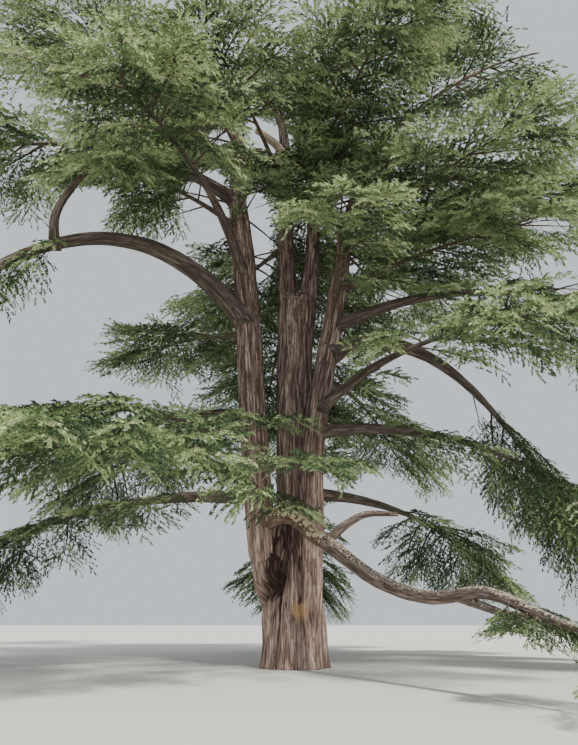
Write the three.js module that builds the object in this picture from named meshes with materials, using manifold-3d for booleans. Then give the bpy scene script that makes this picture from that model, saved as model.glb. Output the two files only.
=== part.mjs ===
// An old spreading cedar, full size: a fluted trunk that parts into three stems, arching boughs,
// one long low limb, and a broad crown of flat tiers of needles.
// Millimetres, +Z up. The origin is the centre of the flat cut at the trunk's foot, -Y is the
// side that the low limb reaches out on, and azimuths run anticlockwise from +X.
import * as THREE from "three";
import { mergeVertices } from "three/addons/utils/BufferGeometryUtils.js";
import Module from "manifold-3d";

const wasm = await Module();
wasm.setup();

// Driving dimensions. The tables below give places in metres and angles in degrees.
const METRE = 1000;
const CLEARANCE = 0.3; // left between a limb and what it grows from, in millimetres
const SEAT_CLEARANCE = 0.36; // the same, measured at the corners of a limb with flat sides
const FORK_HEIGHT = 4.6; // the trunk's flat top, where the three stems start
const PRONG_HEIGHT = 13.9; // where the centre stem parts in two
const TRUNK_SIDES = 30;
const TRUNK_STEPS = 10;
const TRUNK_STEP_GROWTH = 1.4; // above 1, the rings stand closer near the ground
const STEM_SIDES = 10;
const STEM_BURIED = 0.25; // how far a stem's route runs on below its flat foot
const BOUGH_SIDES = 7;
const BOUGH_STEPS = 6;
const TIER_STEM_SIDES = 3;
const TIER_STEM_STEPS = 4;

// The trunk's foot: a round with a root flare and a few broad buttresses, which gives way to the
// lobes of the three stems from lobesFrom upwards. lobe is a lobe's radius over its stem's.
const FOOT = {
  radius: 1.1, flare: 0.1, flareHeight: 0.45, buttress: 0.045, buttresses: 7, turn: 40,
  lobesFrom: 0.6, lobe: 1.06, groove: 0.5,
};
const LOBES = ["left_stem", "centre_stem", "right_stem"];

// Stems. base is the radius at the lower end, tip the share of it left at the upper end, and a
// high taper keeps the girth until near the tip.
const STEMS = {
  left_stem: {
    route: [[-1.2, -0.25, 4.6], [-1.5, -0.4, 8], [-1.8, -0.45, 12.3], [-2.1, -0.4, 15.8],
      [-2.42, -0.35, 18.8], [-2.3, -0.3, 20.6], [-2.9, -0.6, 22.2], [-4.3, -1.1, 23]],
    base: 0.52, tip: 0.22, taper: 4, steps: 12,
  },
  centre_stem: {
    route: [[0, 0.45, 4.6], [0, 0.36, 10.2], [0.16, 0.3, 13.9], [0.2, 0.3, 14.3]],
    base: 0.66, tip: 1.2, taper: 2, steps: 6,
  },
  right_stem: {
    route: [[0.62, -0.55, 4.6], [0.7, -0.52, 7.6], [1.5, -0.65, 12.2], [2.2, -0.7, 16.4],
      [2.9, -0.9, 19], [3.8, -1.3, 20.8], [5.2, -1.9, 21.8]],
    base: 0.43, tip: 0.28, taper: 3, steps: 12,
  },
  left_prong: {
    route: [[-0.2, 0.3, 13.9], [-0.3, 0.4, 16.8], [-0.35, 0.6, 20.5], [-0.6, 0.9, 23.8],
      [-1.4, 1.6, 25.6], [-2.8, 2.6, 26.3]],
    base: 0.37, tip: 0.25, taper: 1.6, steps: 9,
  },
  right_prong: {
    route: [[0.6, 0.3, 13.9], [0.85, 0.3, 16.7], [0.9, 0.2, 20.5], [1.2, 0.2, 23.4],
      [2, -0.4, 25.2], [3.3, -1.2, 25.8]],
    base: 0.33, tip: 0.25, taper: 1.6, steps: 9,
  },
};

// Boughs. Each leaves its parent at a height, runs out along an azimuth for its reach, starts at
// the lift angle, and falls by sag below that straight line at its tip. tier is the mass of
// foliage on its tip: length, half width, and how far its end hangs.
const BOUGHS = {
  left_arch: { from: "left_stem", height: 12.5, azimuth: 211, reach: 9.1, lift: 44, sag: 8.7,
    base: 0.42, tip: 0.4, tier: [4.4, 3.2, 1] },
  upper_left: { from: "left_stem", height: 18.3, azimuth: 203, reach: 5.6, lift: 28, sag: 1.9,
    base: 0.3, tip: 0.4, tier: [6.4, 3.8, 1.6] },
  right_arch: { from: "right_stem", height: 11.1, azimuth: 19, reach: 6.9, lift: 32, sag: 5.4,
    base: 0.38, tip: 0.4, tier: [5.4, 3.4, 1.8] },
  low_left: { from: "left_stem", height: 5.6, azimuth: 165, reach: 7, lift: 8, sag: 1.2,
    base: 0.27, tip: 0.4, tier: [5.6, 3.6, 1] },
  front_left: { from: "left_stem", height: 5.9, azimuth: 247, reach: 4.6, lift: 6, sag: 0.3,
    base: 0.2, tip: 0.45, tier: [6.2, 4, 0.5] },
  far_left: { from: "left_stem", height: 7.8, azimuth: 222, reach: 4.6, lift: 8, sag: 0.5,
    base: 0.22, tip: 0.45, tier: [6, 3.6, 1.2] },
  front_low: { from: "right_stem", height: 6.4, azimuth: 262, reach: 3.2, lift: 0, sag: 0.2,
    base: 0.13, tip: 0.5, tier: [4, 3, 0.5] },
  front_right: { from: "right_stem", height: 8.8, azimuth: 306, reach: 4.6, lift: 22, sag: 0.9,
    base: 0.24, tip: 0.45, tier: [6.2, 3.6, 1] },
  right_fan: { from: "right_stem", height: 12.2, azimuth: 338, reach: 5.4, lift: 20, sag: 1.4,
    base: 0.27, tip: 0.45, tier: [6.4, 3.8, 1.6] },
  right_low: { from: "right_stem", height: 8, azimuth: 352, reach: 6, lift: 8, sag: 1.6,
    base: 0.25, tip: 0.45, tier: [5.8, 3.6, 2] },
  front_high: { from: "left_stem", height: 14.6, azimuth: 252, reach: 4.6, lift: 36, sag: 1.6,
    base: 0.24, tip: 0.45, tier: [6.2, 4, 1] },
  back_right_low: { from: "centre_stem", height: 5.9, azimuth: 42, reach: 6.6, lift: 8, sag: 1,
    base: 0.28, tip: 0.4, tier: [5.8, 3.8, 1.2] },
  back_low: { from: "centre_stem", height: 5.3, azimuth: 88, reach: 6.4, lift: 5, sag: 0.8,
    base: 0.26, tip: 0.4, tier: [5.8, 3.8, 1] },
  back_right: { from: "centre_stem", height: 10.4, azimuth: 62, reach: 6.2, lift: 24, sag: 1.6,
    base: 0.3, tip: 0.4, tier: [6.2, 3.8, 1.4] },
  back_left: { from: "left_stem", height: 8.6, azimuth: 132, reach: 6.4, lift: 22, sag: 1.7,
    base: 0.28, tip: 0.4, tier: [6.2, 3.8, 1.4] },
  back_high: { from: "centre_stem", height: 12.7, azimuth: 98, reach: 6, lift: 30, sag: 2,
    base: 0.3, tip: 0.4, tier: [6.2, 3.9, 1.4] },
};
const ARCHES = ["left_arch", "right_arch"]; // split in two at their crest
const CREST = 0.5; // as a share of an arch's length

// A branch that climbs from the far end of the left arch.
const ARCH_BRANCH = {
  route: [[-8.3, -4.45, 13.45], [-8.2, -5, 14.6], [-7.2, -5.2, 16.4]],
  base: 0.19, tip: 0.5, taper: 1, steps: 5,
};

// The lopped stub on the left prong.
const STUB = {
  route: [[-0.38, 0.5, 20.9], [-0.6, 0.1, 21.5], [-1.15, 0, 22.05], [-1.66, 0, 22.5]],
  base: 0.2, tip: 0.8, steps: 3,
};

// The low limb leaves the groove at the front of the trunk, turns down across it, sweeps out
// close to the ground, and carries a short upturned fork.
const LOW_LIMB = {
  low_elbow: {
    route: [[-0.75, -0.4, 4.2], [-0.5, -1.1, 4.75], [0, -1.55, 4.75], [0.6, -1.9, 4.15], [1, -2.5, 3.85]],
    base: 0.27, tip: 0.9, steps: 8,
  },
  low_limb: {
    route: [[1, -2.5, 3.85], [2.3, -5, 2.55], [3.3, -7, 2.05], [4.15, -8.8, 2.1], [4.8, -10.5, 1.6]],
    base: 0.24, tip: 0.45, taper: 1.2, steps: 9,
  },
  low_fork: {
    route: [[1.05, -2.55, 3.9], [1.6, -2.75, 4.35], [2.25, -3.05, 4.65], [3.2, -3.5, 4.6]],
    base: 0.17, tip: 0.4, steps: 6,
  },
};
const FORK_STARTS = 0.1; // how far past the elbow's end the fork may start

// The second branch that the low limb carries beside its last stretch.
const LIMB_BRANCH = {
  route: [[3.7, -7.85, 2.06], [4.05, -8.4, 1.88], [4.42, -9.1, 1.68], [4.7, -9.75, 1.6]],
  base: 0.12, tip: 0.6, steps: 4,
};
const TRUNK_SEAT_SCALE = [1.0004, 1.0004, 1.0001]; // grows the trunk by the clearance
const LOW_TIERS = {
  low_limb: [2.6, 1.9, -0.3],
};

// Masses that grow straight from a stem: height, azimuth, length, half width, droop, lift.
const STEM_TIERS = {
  left_stem: [[20.2, 172, 7.4, 3.6, 1.2, 12], [16.9, 226, 7.2, 3.2, 2, 12], [12, 135, 8, 3.6, 1.5, 20]],
  right_stem: [[13.2, 268, 6.6, 2.8, 1.2, 14], [15.6, 310, 9, 3.8, 1.8, 18], [17, 352, 9.2, 3.8, 2, 16],
    [13.8, 330, 8.2, 3.6, 1.5, 16]],
  left_prong: [[16.6, 118, 9, 3.8, 1.6, 12], [19.4, 252, 9.4, 3.8, 2, 16]],
  right_prong: [[17.4, 60, 9, 3.8, 1.6, 12], [20.4, 288, 8.6, 3.8, 1.6, 14]],
};
const TOP_TIERS = {
  left_stem: [7.4, 4.2, 1.8],
  right_stem: [6, 3.8, 2],
  left_prong: [6.4, 4.4, 2],
  right_prong: [6.4, 4.4, 2],
};

// One mass of foliage: side twigs in turn along its stem, each widening into a toothed spray.
const TIER = {
  short: 3, shortTwigs: 4, twigs: 6, // a mass shorter than this has fewer twigs
  firstTwig: 0.2, lastTwig: 0.84, tipTwig: 0.97, bareOnStem: 0.3, // as shares of its length
  openAngle: 64, tipAngle: 42, angleSpread: 8, fall: [0.08, 0.32], roll: 30,
  runSpread: [0.9, 1.1], widest: 0.35, narrows: 0.8, leastWidth: 0.39, tipRun: 1.8, tipShare: 0.4,
  baseRadius: 0.15, baseShare: 0.5, tipRadius: 0.035,
  twigWidth: 0.05, sprayWidth: 0.26, thickness: 0.09, keepApart: 0.02, aboveGround: 0.15,
};
const FIRST_SEED = 12; // each mass takes the next one

// The half outline of a twig and its spray, as shares of the run and of the half width.
const SPRAY_TEETH = [[0.42, 0.95], [0.54, 0.45], [0.78, 0.8]];
const SPRAY_NECK = 0.2;
const SPRAY_MIDDLE = 0.6;

const BARK = new THREE.MeshStandardMaterial({ color: "#7d6053", roughness: 0.95, metalness: 0 });
const LICHENED_BARK = new THREE.MeshStandardMaterial({ color: "#8c8173", roughness: 0.95, metalness: 0 });
const NEEDLES = new THREE.MeshStandardMaterial({ color: "#5f7a3c", roughness: 0.8, metalness: 0 });

const UP = new THREE.Vector3(0, 0, 1);

/** A seeded run of numbers from 0 to 1, the same on every machine. */
function seededRandom(seed) {
  let state = seed >>> 0;
  return () => {
    state = (state + 0x6d2b79f5) >>> 0;
    let mixed = Math.imul(state ^ (state >>> 15), 1 | state);
    mixed = (mixed + Math.imul(mixed ^ (mixed >>> 7), 61 | mixed)) ^ mixed;
    return ((mixed ^ (mixed >>> 14)) >>> 0) / 4294967296;
  };
}

/** A point given in metres, in millimetres. */
const place = ([x, y, z]) => new THREE.Vector3(x, y, z).multiplyScalar(METRE);

/** A direction from an azimuth and a lift above the level, in degrees. */
function heading(azimuth, lift) {
  const a = THREE.MathUtils.degToRad(azimuth);
  const e = THREE.MathUtils.degToRad(lift);
  return new THREE.Vector3(Math.cos(a) * Math.cos(e), Math.sin(a) * Math.cos(e), Math.sin(e));
}

/** A limb's centreline that sets off one way and sags below it with the square of its run. */
class SaggingCurve extends THREE.Curve {
  constructor(start, direction, length, sag) {
    super();
    Object.assign(this, { start, direction, length, sag });
  }
  getPoint(t, target = new THREE.Vector3()) {
    target.copy(this.direction).multiplyScalar(this.length * t).add(this.start);
    target.z -= this.sag * t * t;
    return target;
  }
}

/** The stretch of another curve from one share of its length to another. */
class Stretch extends THREE.Curve {
  constructor(whole, from, to) {
    super();
    Object.assign(this, { whole, from, to });
  }
  getPoint(t, target) {
    return this.whole.getPointAt(this.from + (this.to - this.from) * t, target);
  }
}

const routed = (route) => new THREE.CatmullRomCurve3(route.map(place), false, "centripetal");

/** A closed solid from a geometry, its shared corners merged. */
function toSolid(geometry) {
  const bare = geometry.toNonIndexed();
  for (const name of ["normal", "uv"]) bare.deleteAttribute(name);
  const merged = mergeVertices(bare, 1e-3);
  return new wasm.Manifold(new wasm.Mesh({
    numProp: 3,
    vertProperties: merged.attributes.position.array,
    triVerts: new Uint32Array(merged.index.array),
  }));
}

/** A geometry from a solid, for its mesh in the scene. */
function toGeometry(solid) {
  const made = solid.getMesh();
  const geometry = new THREE.BufferGeometry();
  geometry.setAttribute("position", new THREE.BufferAttribute(new Float32Array(made.vertProperties), 3));
  geometry.setIndex(new THREE.BufferAttribute(new Uint32Array(made.triVerts), 1));
  return geometry;
}

/** The largest body of a solid that a cut may have left in several. */
function largest(solid) {
  const bodies = solid.decompose();
  return bodies.reduce((best, body) => (body.volume() > best.volume() ? body : best));
}

/** A tapering limb: a cylinder whose rings are laid along a curve. */
function limbSolid(curve, radiusAt, sides, steps, growth = 0) {
  const geometry = new THREE.CylinderGeometry(1, 1, 1, sides, steps);
  const frames = curve.computeFrenetFrames(steps, false);
  const at = geometry.attributes.position;
  const middle = new THREE.Vector3();
  const corner = new THREE.Vector3();
  for (let i = 0; i < at.count; i++) {
    const ring = Math.round((at.getY(i) + 0.5) * steps);
    const radius = radiusAt(ring / steps) + growth;
    curve.getPointAt(ring / steps, middle);
    corner.copy(middle)
      .addScaledVector(frames.binormals[ring], at.getX(i) * radius)
      .addScaledVector(frames.normals[ring], at.getZ(i) * radius);
    at.setXYZ(i, corner.x, corner.y, corner.z);
  }
  return toSolid(geometry);
}

/** How a limb's radius falls off along it, in millimetres. */
const tapered = ({ base, tip, taper = 1 }) => (t) => base * METRE * (1 - (1 - tip) * t ** taper);

/** A limb from its row in a table: its centreline, its radius along it, and its facets. */
const limbOf = (row) => ({
  curve: routed(row.route), radiusAt: tapered(row), sides: BOUGH_SIDES, steps: row.steps,
});

const solidOf = ({ curve, radiusAt, sides, steps }) => limbSolid(curve, radiusAt, sides, steps);

/** How far the three stems' rounds reach from the trunk's axis, seen along an angle, in metres. */
function forkReach(angle) {
  let reach = FOOT.groove;
  for (const name of LOBES) {
    const [x, y] = STEMS[name].route[0];
    const along = x * Math.cos(angle) + y * Math.sin(angle);
    const across = y * Math.cos(angle) - x * Math.sin(angle);
    const round = STEMS[name].base * FOOT.lobe;
    if (Math.abs(across) < round) reach = Math.max(reach, along + Math.sqrt(round ** 2 - across ** 2));
  }
  return reach;
}

/** The trunk's radius in metres at an angle and height: a flared foot that becomes three lobes. */
function trunkRadius(angle, height) {
  const wave = Math.cos(FOOT.buttresses * angle + THREE.MathUtils.degToRad(FOOT.turn));
  const foot = FOOT.radius * (1 + FOOT.buttress * wave) + FOOT.flare * Math.exp(-height / FOOT.flareHeight);
  const share = THREE.MathUtils.smoothstep(height, FOOT.lobesFrom, FORK_HEIGHT);
  return THREE.MathUtils.lerp(foot, forkReach(angle), share);
}

/** The trunk, from the flat cut at the ground to the flat top that the stems stand on. */
function trunkSolid() {
  const geometry = new THREE.CylinderGeometry(1, 1, 1, TRUNK_SIDES, TRUNK_STEPS);
  const at = geometry.attributes.position;
  for (let i = 0; i < at.count; i++) {
    const share = at.getY(i) + 0.5;
    const height = FORK_HEIGHT * share ** TRUNK_STEP_GROWTH;
    const angle = Math.atan2(-at.getZ(i), at.getX(i));
    const radius = trunkRadius(angle, height) * Math.hypot(at.getX(i), at.getZ(i));
    at.setXYZ(i, radius * Math.cos(angle) * METRE, radius * Math.sin(angle) * METRE, height * METRE);
  }
  return toSolid(geometry);
}

/** A twig that widens into a toothed blade, which stands for a spray of needles. */
function spraySolid(root, along, across, run, halfWidth) {
  const up = new THREE.Vector3().crossVectors(along, across).normalize();
  const neck = (TIER.twigWidth * METRE) / halfWidth;
  const half = [[0, neck], [SPRAY_NECK, neck], ...SPRAY_TEETH];
  const outline = [...half, [1, 0], ...half.reverse().map(([share, width]) => [share, -width])];
  const rise = (TIER.thickness * METRE) / 2;
  const corners = [
    ...outline.map(([share, width]) => [share, width, 0]),
    [0, 0, rise], [SPRAY_MIDDLE, 0, rise], [SPRAY_MIDDLE, 0, -rise],
  ].map(([share, width, height]) => new THREE.Vector3().copy(root)
    .addScaledVector(along, share * run)
    .addScaledVector(across, width * halfWidth)
    .addScaledVector(up, height));
  const last = outline.length - 1;
  const [topRoot, topMiddle, lowMiddle] = [last + 1, last + 2, last + 3];
  const faces = outline.slice(1).flatMap((_, i) => [i + 1, i, topMiddle, i, i + 1, lowMiddle]);
  faces.push(0, topRoot, topMiddle, topRoot, last, topMiddle, last, 0, lowMiddle, 0, last, topRoot);
  const geometry = new THREE.BufferGeometry();
  geometry.setAttribute("position", new THREE.Float32BufferAttribute(corners.flatMap((c) => c.toArray()), 3));
  geometry.setIndex(faces);
  return toSolid(geometry);
}

const boxOf = (solid) => {
  const { min, max } = solid.boundingBox();
  return new THREE.Box3(new THREE.Vector3(...min), new THREE.Vector3(...max));
};

const root = new THREE.Group();
const limbs = {}; // name: { curve, radiusAt, sides, steps }
const placed = []; // every finished solid with its box, for keeping new growth clear of it

/** Adds a finished solid to the tree as one named mesh. */
function addNode(name, solid, material) {
  const mesh = new THREE.Mesh(toGeometry(solid), material);
  mesh.name = name;
  root.add(mesh);
  placed.push({ name, solid, box: boxOf(solid) });
}

/** True where a solid lies clear of the ground and of everything placed so far. */
function liesClear(solid) {
  const margin = TIER.keepApart * METRE;
  const box = boxOf(solid).expandByScalar(margin);
  if (box.min.z < TIER.aboveGround * METRE) return false;
  return placed.every((other) => !box.intersectsBox(other.box)
    || solid.minGap(other.solid, margin) >= margin);
}

/** Where along a limb it passes a height, as a share of its length. */
function shareAtHeight(limb, height) {
  let low = 0;
  let high = 1;
  for (let i = 0; i < 30; i++) {
    const middle = (low + high) / 2;
    if (limb.curve.getPointAt(middle).z < height * METRE) low = middle;
    else high = middle;
  }
  return low;
}

/** A limb a little thicker than life, to cut its seat out of what grows from it. */
const seatOf = ({ curve, radiusAt, sides, steps }) =>
  limbSolid(curve, radiusAt, sides, steps, SEAT_CLEARANCE);

/** The trunk and the stems, each on the flat top of what carries it. */
function makeStems() {
  addNode("trunk", trunkSolid(), BARK);
  for (const [name, stem] of Object.entries(STEMS)) {
    const [x, y, z] = stem.route[0];
    const curve = routed([[x, y, z - STEM_BURIED], ...stem.route]);
    const limb = { curve, radiusAt: tapered(stem), sides: STEM_SIDES, steps: stem.steps };
    limbs[name] = limb;
    let solid = solidOf(limb).trimByPlane([0, 0, 1], z * METRE + CLEARANCE);
    if (name === "centre_stem") solid = solid.trimByPlane([0, 0, -1], -PRONG_HEIGHT * METRE);
    if (name === "left_prong") solid = solid.add(solidOf(limbOf(STUB)));
    addNode(name, solid, BARK);
  }
}

/** How far a mass reaches to each side, from its first twig (0) to its tip (1), as a share. */
function widthShare(along) {
  return Math.max(TIER.leastWidth, Math.sqrt(Math.max(0, 1 - ((along - TIER.widest) / TIER.narrows) ** 2)));
}

/** One tier of foliage on a stem of its own, grown by the seeded rule and fused to one body. */
function makeTier(curve, baseRadius, halfWidth, firstTwig, seed, seat) {
  const random = seededRandom(seed);
  const between = ([low, high]) => THREE.MathUtils.lerp(low, high, random());
  const length = curve.getLength();
  const radiusAt = (t) => THREE.MathUtils.lerp(baseRadius, TIER.tipRadius * METRE, t);
  const stem = limbSolid(curve, radiusAt, TIER_STEM_SIDES, TIER_STEM_STEPS);
  const parts = [seat ? largest(stem.subtract(seat)) : stem];
  const twigs = length < TIER.short * METRE ? TIER.shortTwigs : TIER.twigs;
  for (let i = 0; i <= twigs; i++) {
    const isTip = i === twigs;
    const share = isTip ? TIER.tipTwig : THREE.MathUtils.lerp(firstTwig, TIER.lastTwig, i / (twigs - 1));
    const along = (share - firstTwig) / (1 - firstTwig);
    const side = isTip ? 0 : (-1) ** i;
    const open = THREE.MathUtils.lerp(TIER.openAngle, TIER.tipAngle, along)
      + between([-TIER.angleSpread, TIER.angleSpread]) / 2;
    const out = curve.getTangentAt(share).applyAxisAngle(UP, THREE.MathUtils.degToRad(side * open));
    out.z -= between(TIER.fall);
    out.normalize();
    const run = isTip
      ? Math.min(TIER.tipShare * length, TIER.tipRun * METRE)
      : halfWidth * METRE * widthShare(along) * between(TIER.runSpread);
    const level = new THREE.Vector3().crossVectors(UP, out).normalize()
      .applyAxisAngle(out, THREE.MathUtils.degToRad(between([-TIER.roll, TIER.roll])));
    const spray = spraySolid(curve.getPointAt(share), out, level, run, run * TIER.sprayWidth);
    if (liesClear(spray)) parts.push(spray);
  }
  return largest(wasm.Manifold.union(parts));
}

/** The mass of foliage that carries on from a limb's tip. */
function makeTipTier(limbName, [length, halfWidth, droop], seed) {
  const { curve: limb, radiusAt } = limbs[limbName];
  const ahead = limb.getTangentAt(1);
  const start = limb.getPointAt(1).addScaledVector(ahead, CLEARANCE);
  const curve = new SaggingCurve(start, ahead, length * METRE, droop * METRE);
  const tier = makeTier(curve, radiusAt(1), halfWidth, TIER.firstTwig, seed, null);
  addNode(limbName + "_foliage", tier, NEEDLES);
}

/** A mass of foliage that grows straight from the side of a stem. */
function makeStemTier(stemName, index, [height, azimuth, length, halfWidth, droop, lift], seed) {
  const stem = limbs[stemName];
  const share = shareAtHeight(stem, height);
  const curve = new SaggingCurve(stem.curve.getPointAt(share), heading(azimuth, lift),
    length * METRE, droop * METRE);
  const baseRadius = Math.min(TIER.baseShare * stem.radiusAt(share), TIER.baseRadius * METRE);
  const tier = makeTier(curve, baseRadius, halfWidth, TIER.bareOnStem, seed, seatOf(stem));
  addNode(`${stemName}_tier_${index + 1}`, tier, NEEDLES);
}

/** The stretch of a limb between two shares of its length, as a limb of its own. */
function stretchOf(limb, from, to) {
  return {
    curve: new Stretch(limb.curve, from, to),
    radiusAt: (t) => limb.radiusAt(THREE.MathUtils.lerp(from, to, t)),
    sides: limb.sides,
    steps: BOUGH_STEPS - 1,
  };
}

/** The boughs, each cut clear of its stem, with the long arches split at their crest. */
function makeBoughs() {
  for (const [name, bough] of Object.entries(BOUGHS)) {
    const stem = limbs[bough.from];
    const start = stem.curve.getPointAt(shareAtHeight(stem, bough.height));
    const outward = heading(bough.azimuth, bough.lift)
      .divideScalar(Math.cos(THREE.MathUtils.degToRad(bough.lift)));
    const curve = new SaggingCurve(start, outward, bough.reach * METRE, bough.sag * METRE);
    const limb = { curve, radiusAt: tapered(bough), sides: BOUGH_SIDES, steps: BOUGH_STEPS };
    limbs[name] = limb;
    if (!ARCHES.includes(name)) {
      addNode(name, largest(solidOf(limb).subtract(seatOf(stem))), BARK);
      continue;
    }
    const gap = CLEARANCE / curve.getLength();
    const rise = stretchOf(limb, 0, CREST);
    addNode(name + "_rise", largest(solidOf(rise).subtract(seatOf(stem))), BARK);
    addNode(name + "_fall", solidOf(stretchOf(limb, CREST + gap, 1)), BARK);
  }
  const branch = solidOf(limbOf(ARCH_BRANCH));
  addNode("arch_branch", largest(branch.subtract(seatOf(stretchOf(limbs.left_arch, CREST, 1)))), BARK);
}

/** A wide flat disc at a limb's end, to part what grows on from there by its thickness. */
function jointAt(limb, thickness) {
  const along = new SaggingCurve(limb.curve.getPointAt(1), limb.curve.getTangentAt(1), thickness, 0);
  return limbSolid(along, () => METRE, BOUGH_SIDES, 1);
}

/** The low limb: its elbow out of the trunk, its long reach, and its fork. */
function makeLowLimb() {
  for (const [name, row] of Object.entries(LOW_LIMB)) limbs[name] = limbOf(row);
  const { low_elbow: elbow, low_limb: reach, low_fork: fork } = limbs;
  const trunk = placed.find((node) => node.name === "trunk").solid;
  const seats = {
    low_elbow: [trunk.scale(TRUNK_SEAT_SCALE), ...LOBES.map((name) => seatOf(limbs[name]))],
    low_limb: [jointAt(elbow, CLEARANCE)],
    low_fork: [seatOf(elbow), seatOf(reach), jointAt(elbow, FORK_STARTS * METRE)],
  };
  for (const [name, limb] of Object.entries({ low_elbow: elbow, low_limb: reach, low_fork: fork })) {
    let solid = solidOf(limb);
    if (name === "low_limb") solid = solid.add(solidOf(limbOf(LIMB_BRANCH)));
    const cut = seats[name].reduce((rest, seat) => rest.subtract(seat), solid);
    addNode(name, largest(cut), LICHENED_BARK);
  }
}

makeStems();
makeBoughs();
makeLowLimb();

let seed = FIRST_SEED;
for (const [name, tier] of Object.entries(LOW_TIERS)) makeTipTier(name, tier, seed++);
for (const [name, bough] of Object.entries(BOUGHS)) makeTipTier(name, bough.tier, seed++);
for (const [name, tier] of Object.entries(TOP_TIERS)) makeTipTier(name, tier, seed++);
for (const [name, tiers] of Object.entries(STEM_TIERS)) {
  tiers.forEach((tier, index) => makeStemTier(name, index, tier, seed++));
}

export default root;
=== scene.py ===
"""An old spreading cedar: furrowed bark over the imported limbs, and tiers of needles grown by rule.

Metres, +Z up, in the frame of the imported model. The limbs follow the same tables as the solids, and
each mass of foliage is grown again from its own stem, carried on to fine twigs and strands of needles.
"""

import logging
import math
from collections.abc import Iterable, Sequence
from dataclasses import dataclass, field
from enum import Enum

import bpy
import numpy as np
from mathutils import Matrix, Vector
from mathutils.kdtree import KDTree


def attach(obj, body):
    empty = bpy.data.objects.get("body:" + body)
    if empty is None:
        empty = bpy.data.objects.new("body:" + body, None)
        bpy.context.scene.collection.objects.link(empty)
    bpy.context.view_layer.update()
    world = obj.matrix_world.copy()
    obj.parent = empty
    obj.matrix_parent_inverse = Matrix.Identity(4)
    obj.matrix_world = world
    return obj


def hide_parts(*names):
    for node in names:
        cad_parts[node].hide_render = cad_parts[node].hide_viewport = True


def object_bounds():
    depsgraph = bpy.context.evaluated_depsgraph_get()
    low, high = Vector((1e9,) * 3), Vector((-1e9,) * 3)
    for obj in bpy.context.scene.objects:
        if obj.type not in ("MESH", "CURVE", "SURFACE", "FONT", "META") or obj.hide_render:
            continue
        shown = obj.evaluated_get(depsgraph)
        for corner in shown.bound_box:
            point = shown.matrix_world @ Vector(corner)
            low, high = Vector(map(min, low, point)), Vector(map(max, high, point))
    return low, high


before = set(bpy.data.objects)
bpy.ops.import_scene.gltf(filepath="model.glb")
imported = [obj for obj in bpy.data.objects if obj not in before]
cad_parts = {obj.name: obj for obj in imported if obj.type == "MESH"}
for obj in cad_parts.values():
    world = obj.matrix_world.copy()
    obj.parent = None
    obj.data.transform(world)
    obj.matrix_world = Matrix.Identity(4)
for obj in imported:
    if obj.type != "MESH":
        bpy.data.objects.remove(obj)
CAD_BOX = [list(corner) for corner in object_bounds()]

logging.basicConfig(level=logging.INFO, format="%(message)s")
log = logging.getLogger("cedar")

BODY = "root"
UP = np.array([0.0, 0.0, 1.0])
Array = np.ndarray
Chance = np.random.Generator
Point = Sequence[float]
Pair = tuple[float, float]
Twig = tuple[Array, float, float]
Socket = bpy.types.NodeSocket
Value = Socket | float | Point
TAU = 2 * math.pi


def linear(hex_colour: str) -> tuple[float, float, float, float]:
    """Turns an sRGB hex colour into linear RGBA.

    Args:
        hex_colour: six hex digits after a hash.

    Returns:
        The colour's linear red, green and blue, and alpha 1.
    """
    channels = [int(hex_colour[i:i + 2], 16) / 255 for i in (1, 3, 5)]
    turned = [c / 12.92 if c <= 0.04045 else ((c + 0.055) / 1.055) ** 2.4 for c in channels]
    return (*turned, 1.0)


def smooth(low: float, high: float, value: Array | float) -> Array:
    """A smooth step from 0 at low to 1 at high.

    Args:
        low: where the step starts.
        high: where the step ends.
        value: the number or numbers to place on it.

    Returns:
        The height of the step at each value.
    """
    share = np.clip((np.asarray(value, dtype=float) - low) / (high - low), 0, 1)
    return share * share * (3 - 2 * share)


def unit(vector: Array) -> Array:
    """The vector, or each row of vectors, at length 1."""
    return vector / np.maximum(np.linalg.norm(vector, axis=-1, keepdims=True), 1e-9)


def turned(vector: Array, axis: Array, degrees: float) -> Array:
    """Turns a vector about an axis.

    Args:
        vector: what is turned.
        axis: a unit vector to turn about.
        degrees: how far, by the right-hand rule.

    Returns:
        The turned vector.
    """
    c, s = math.cos(math.radians(degrees)), math.sin(math.radians(degrees))
    return vector * c + np.cross(axis, vector) * s + axis * float(axis @ vector) * (1 - c)


def heading(azimuth: float, lift: float) -> Array:
    """A direction from an azimuth, anticlockwise from +X, and a lift above the level, in degrees."""
    a, e = math.radians(azimuth), math.radians(lift)
    return np.array([math.cos(a) * math.cos(e), math.sin(a) * math.cos(e), math.sin(e)])


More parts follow.
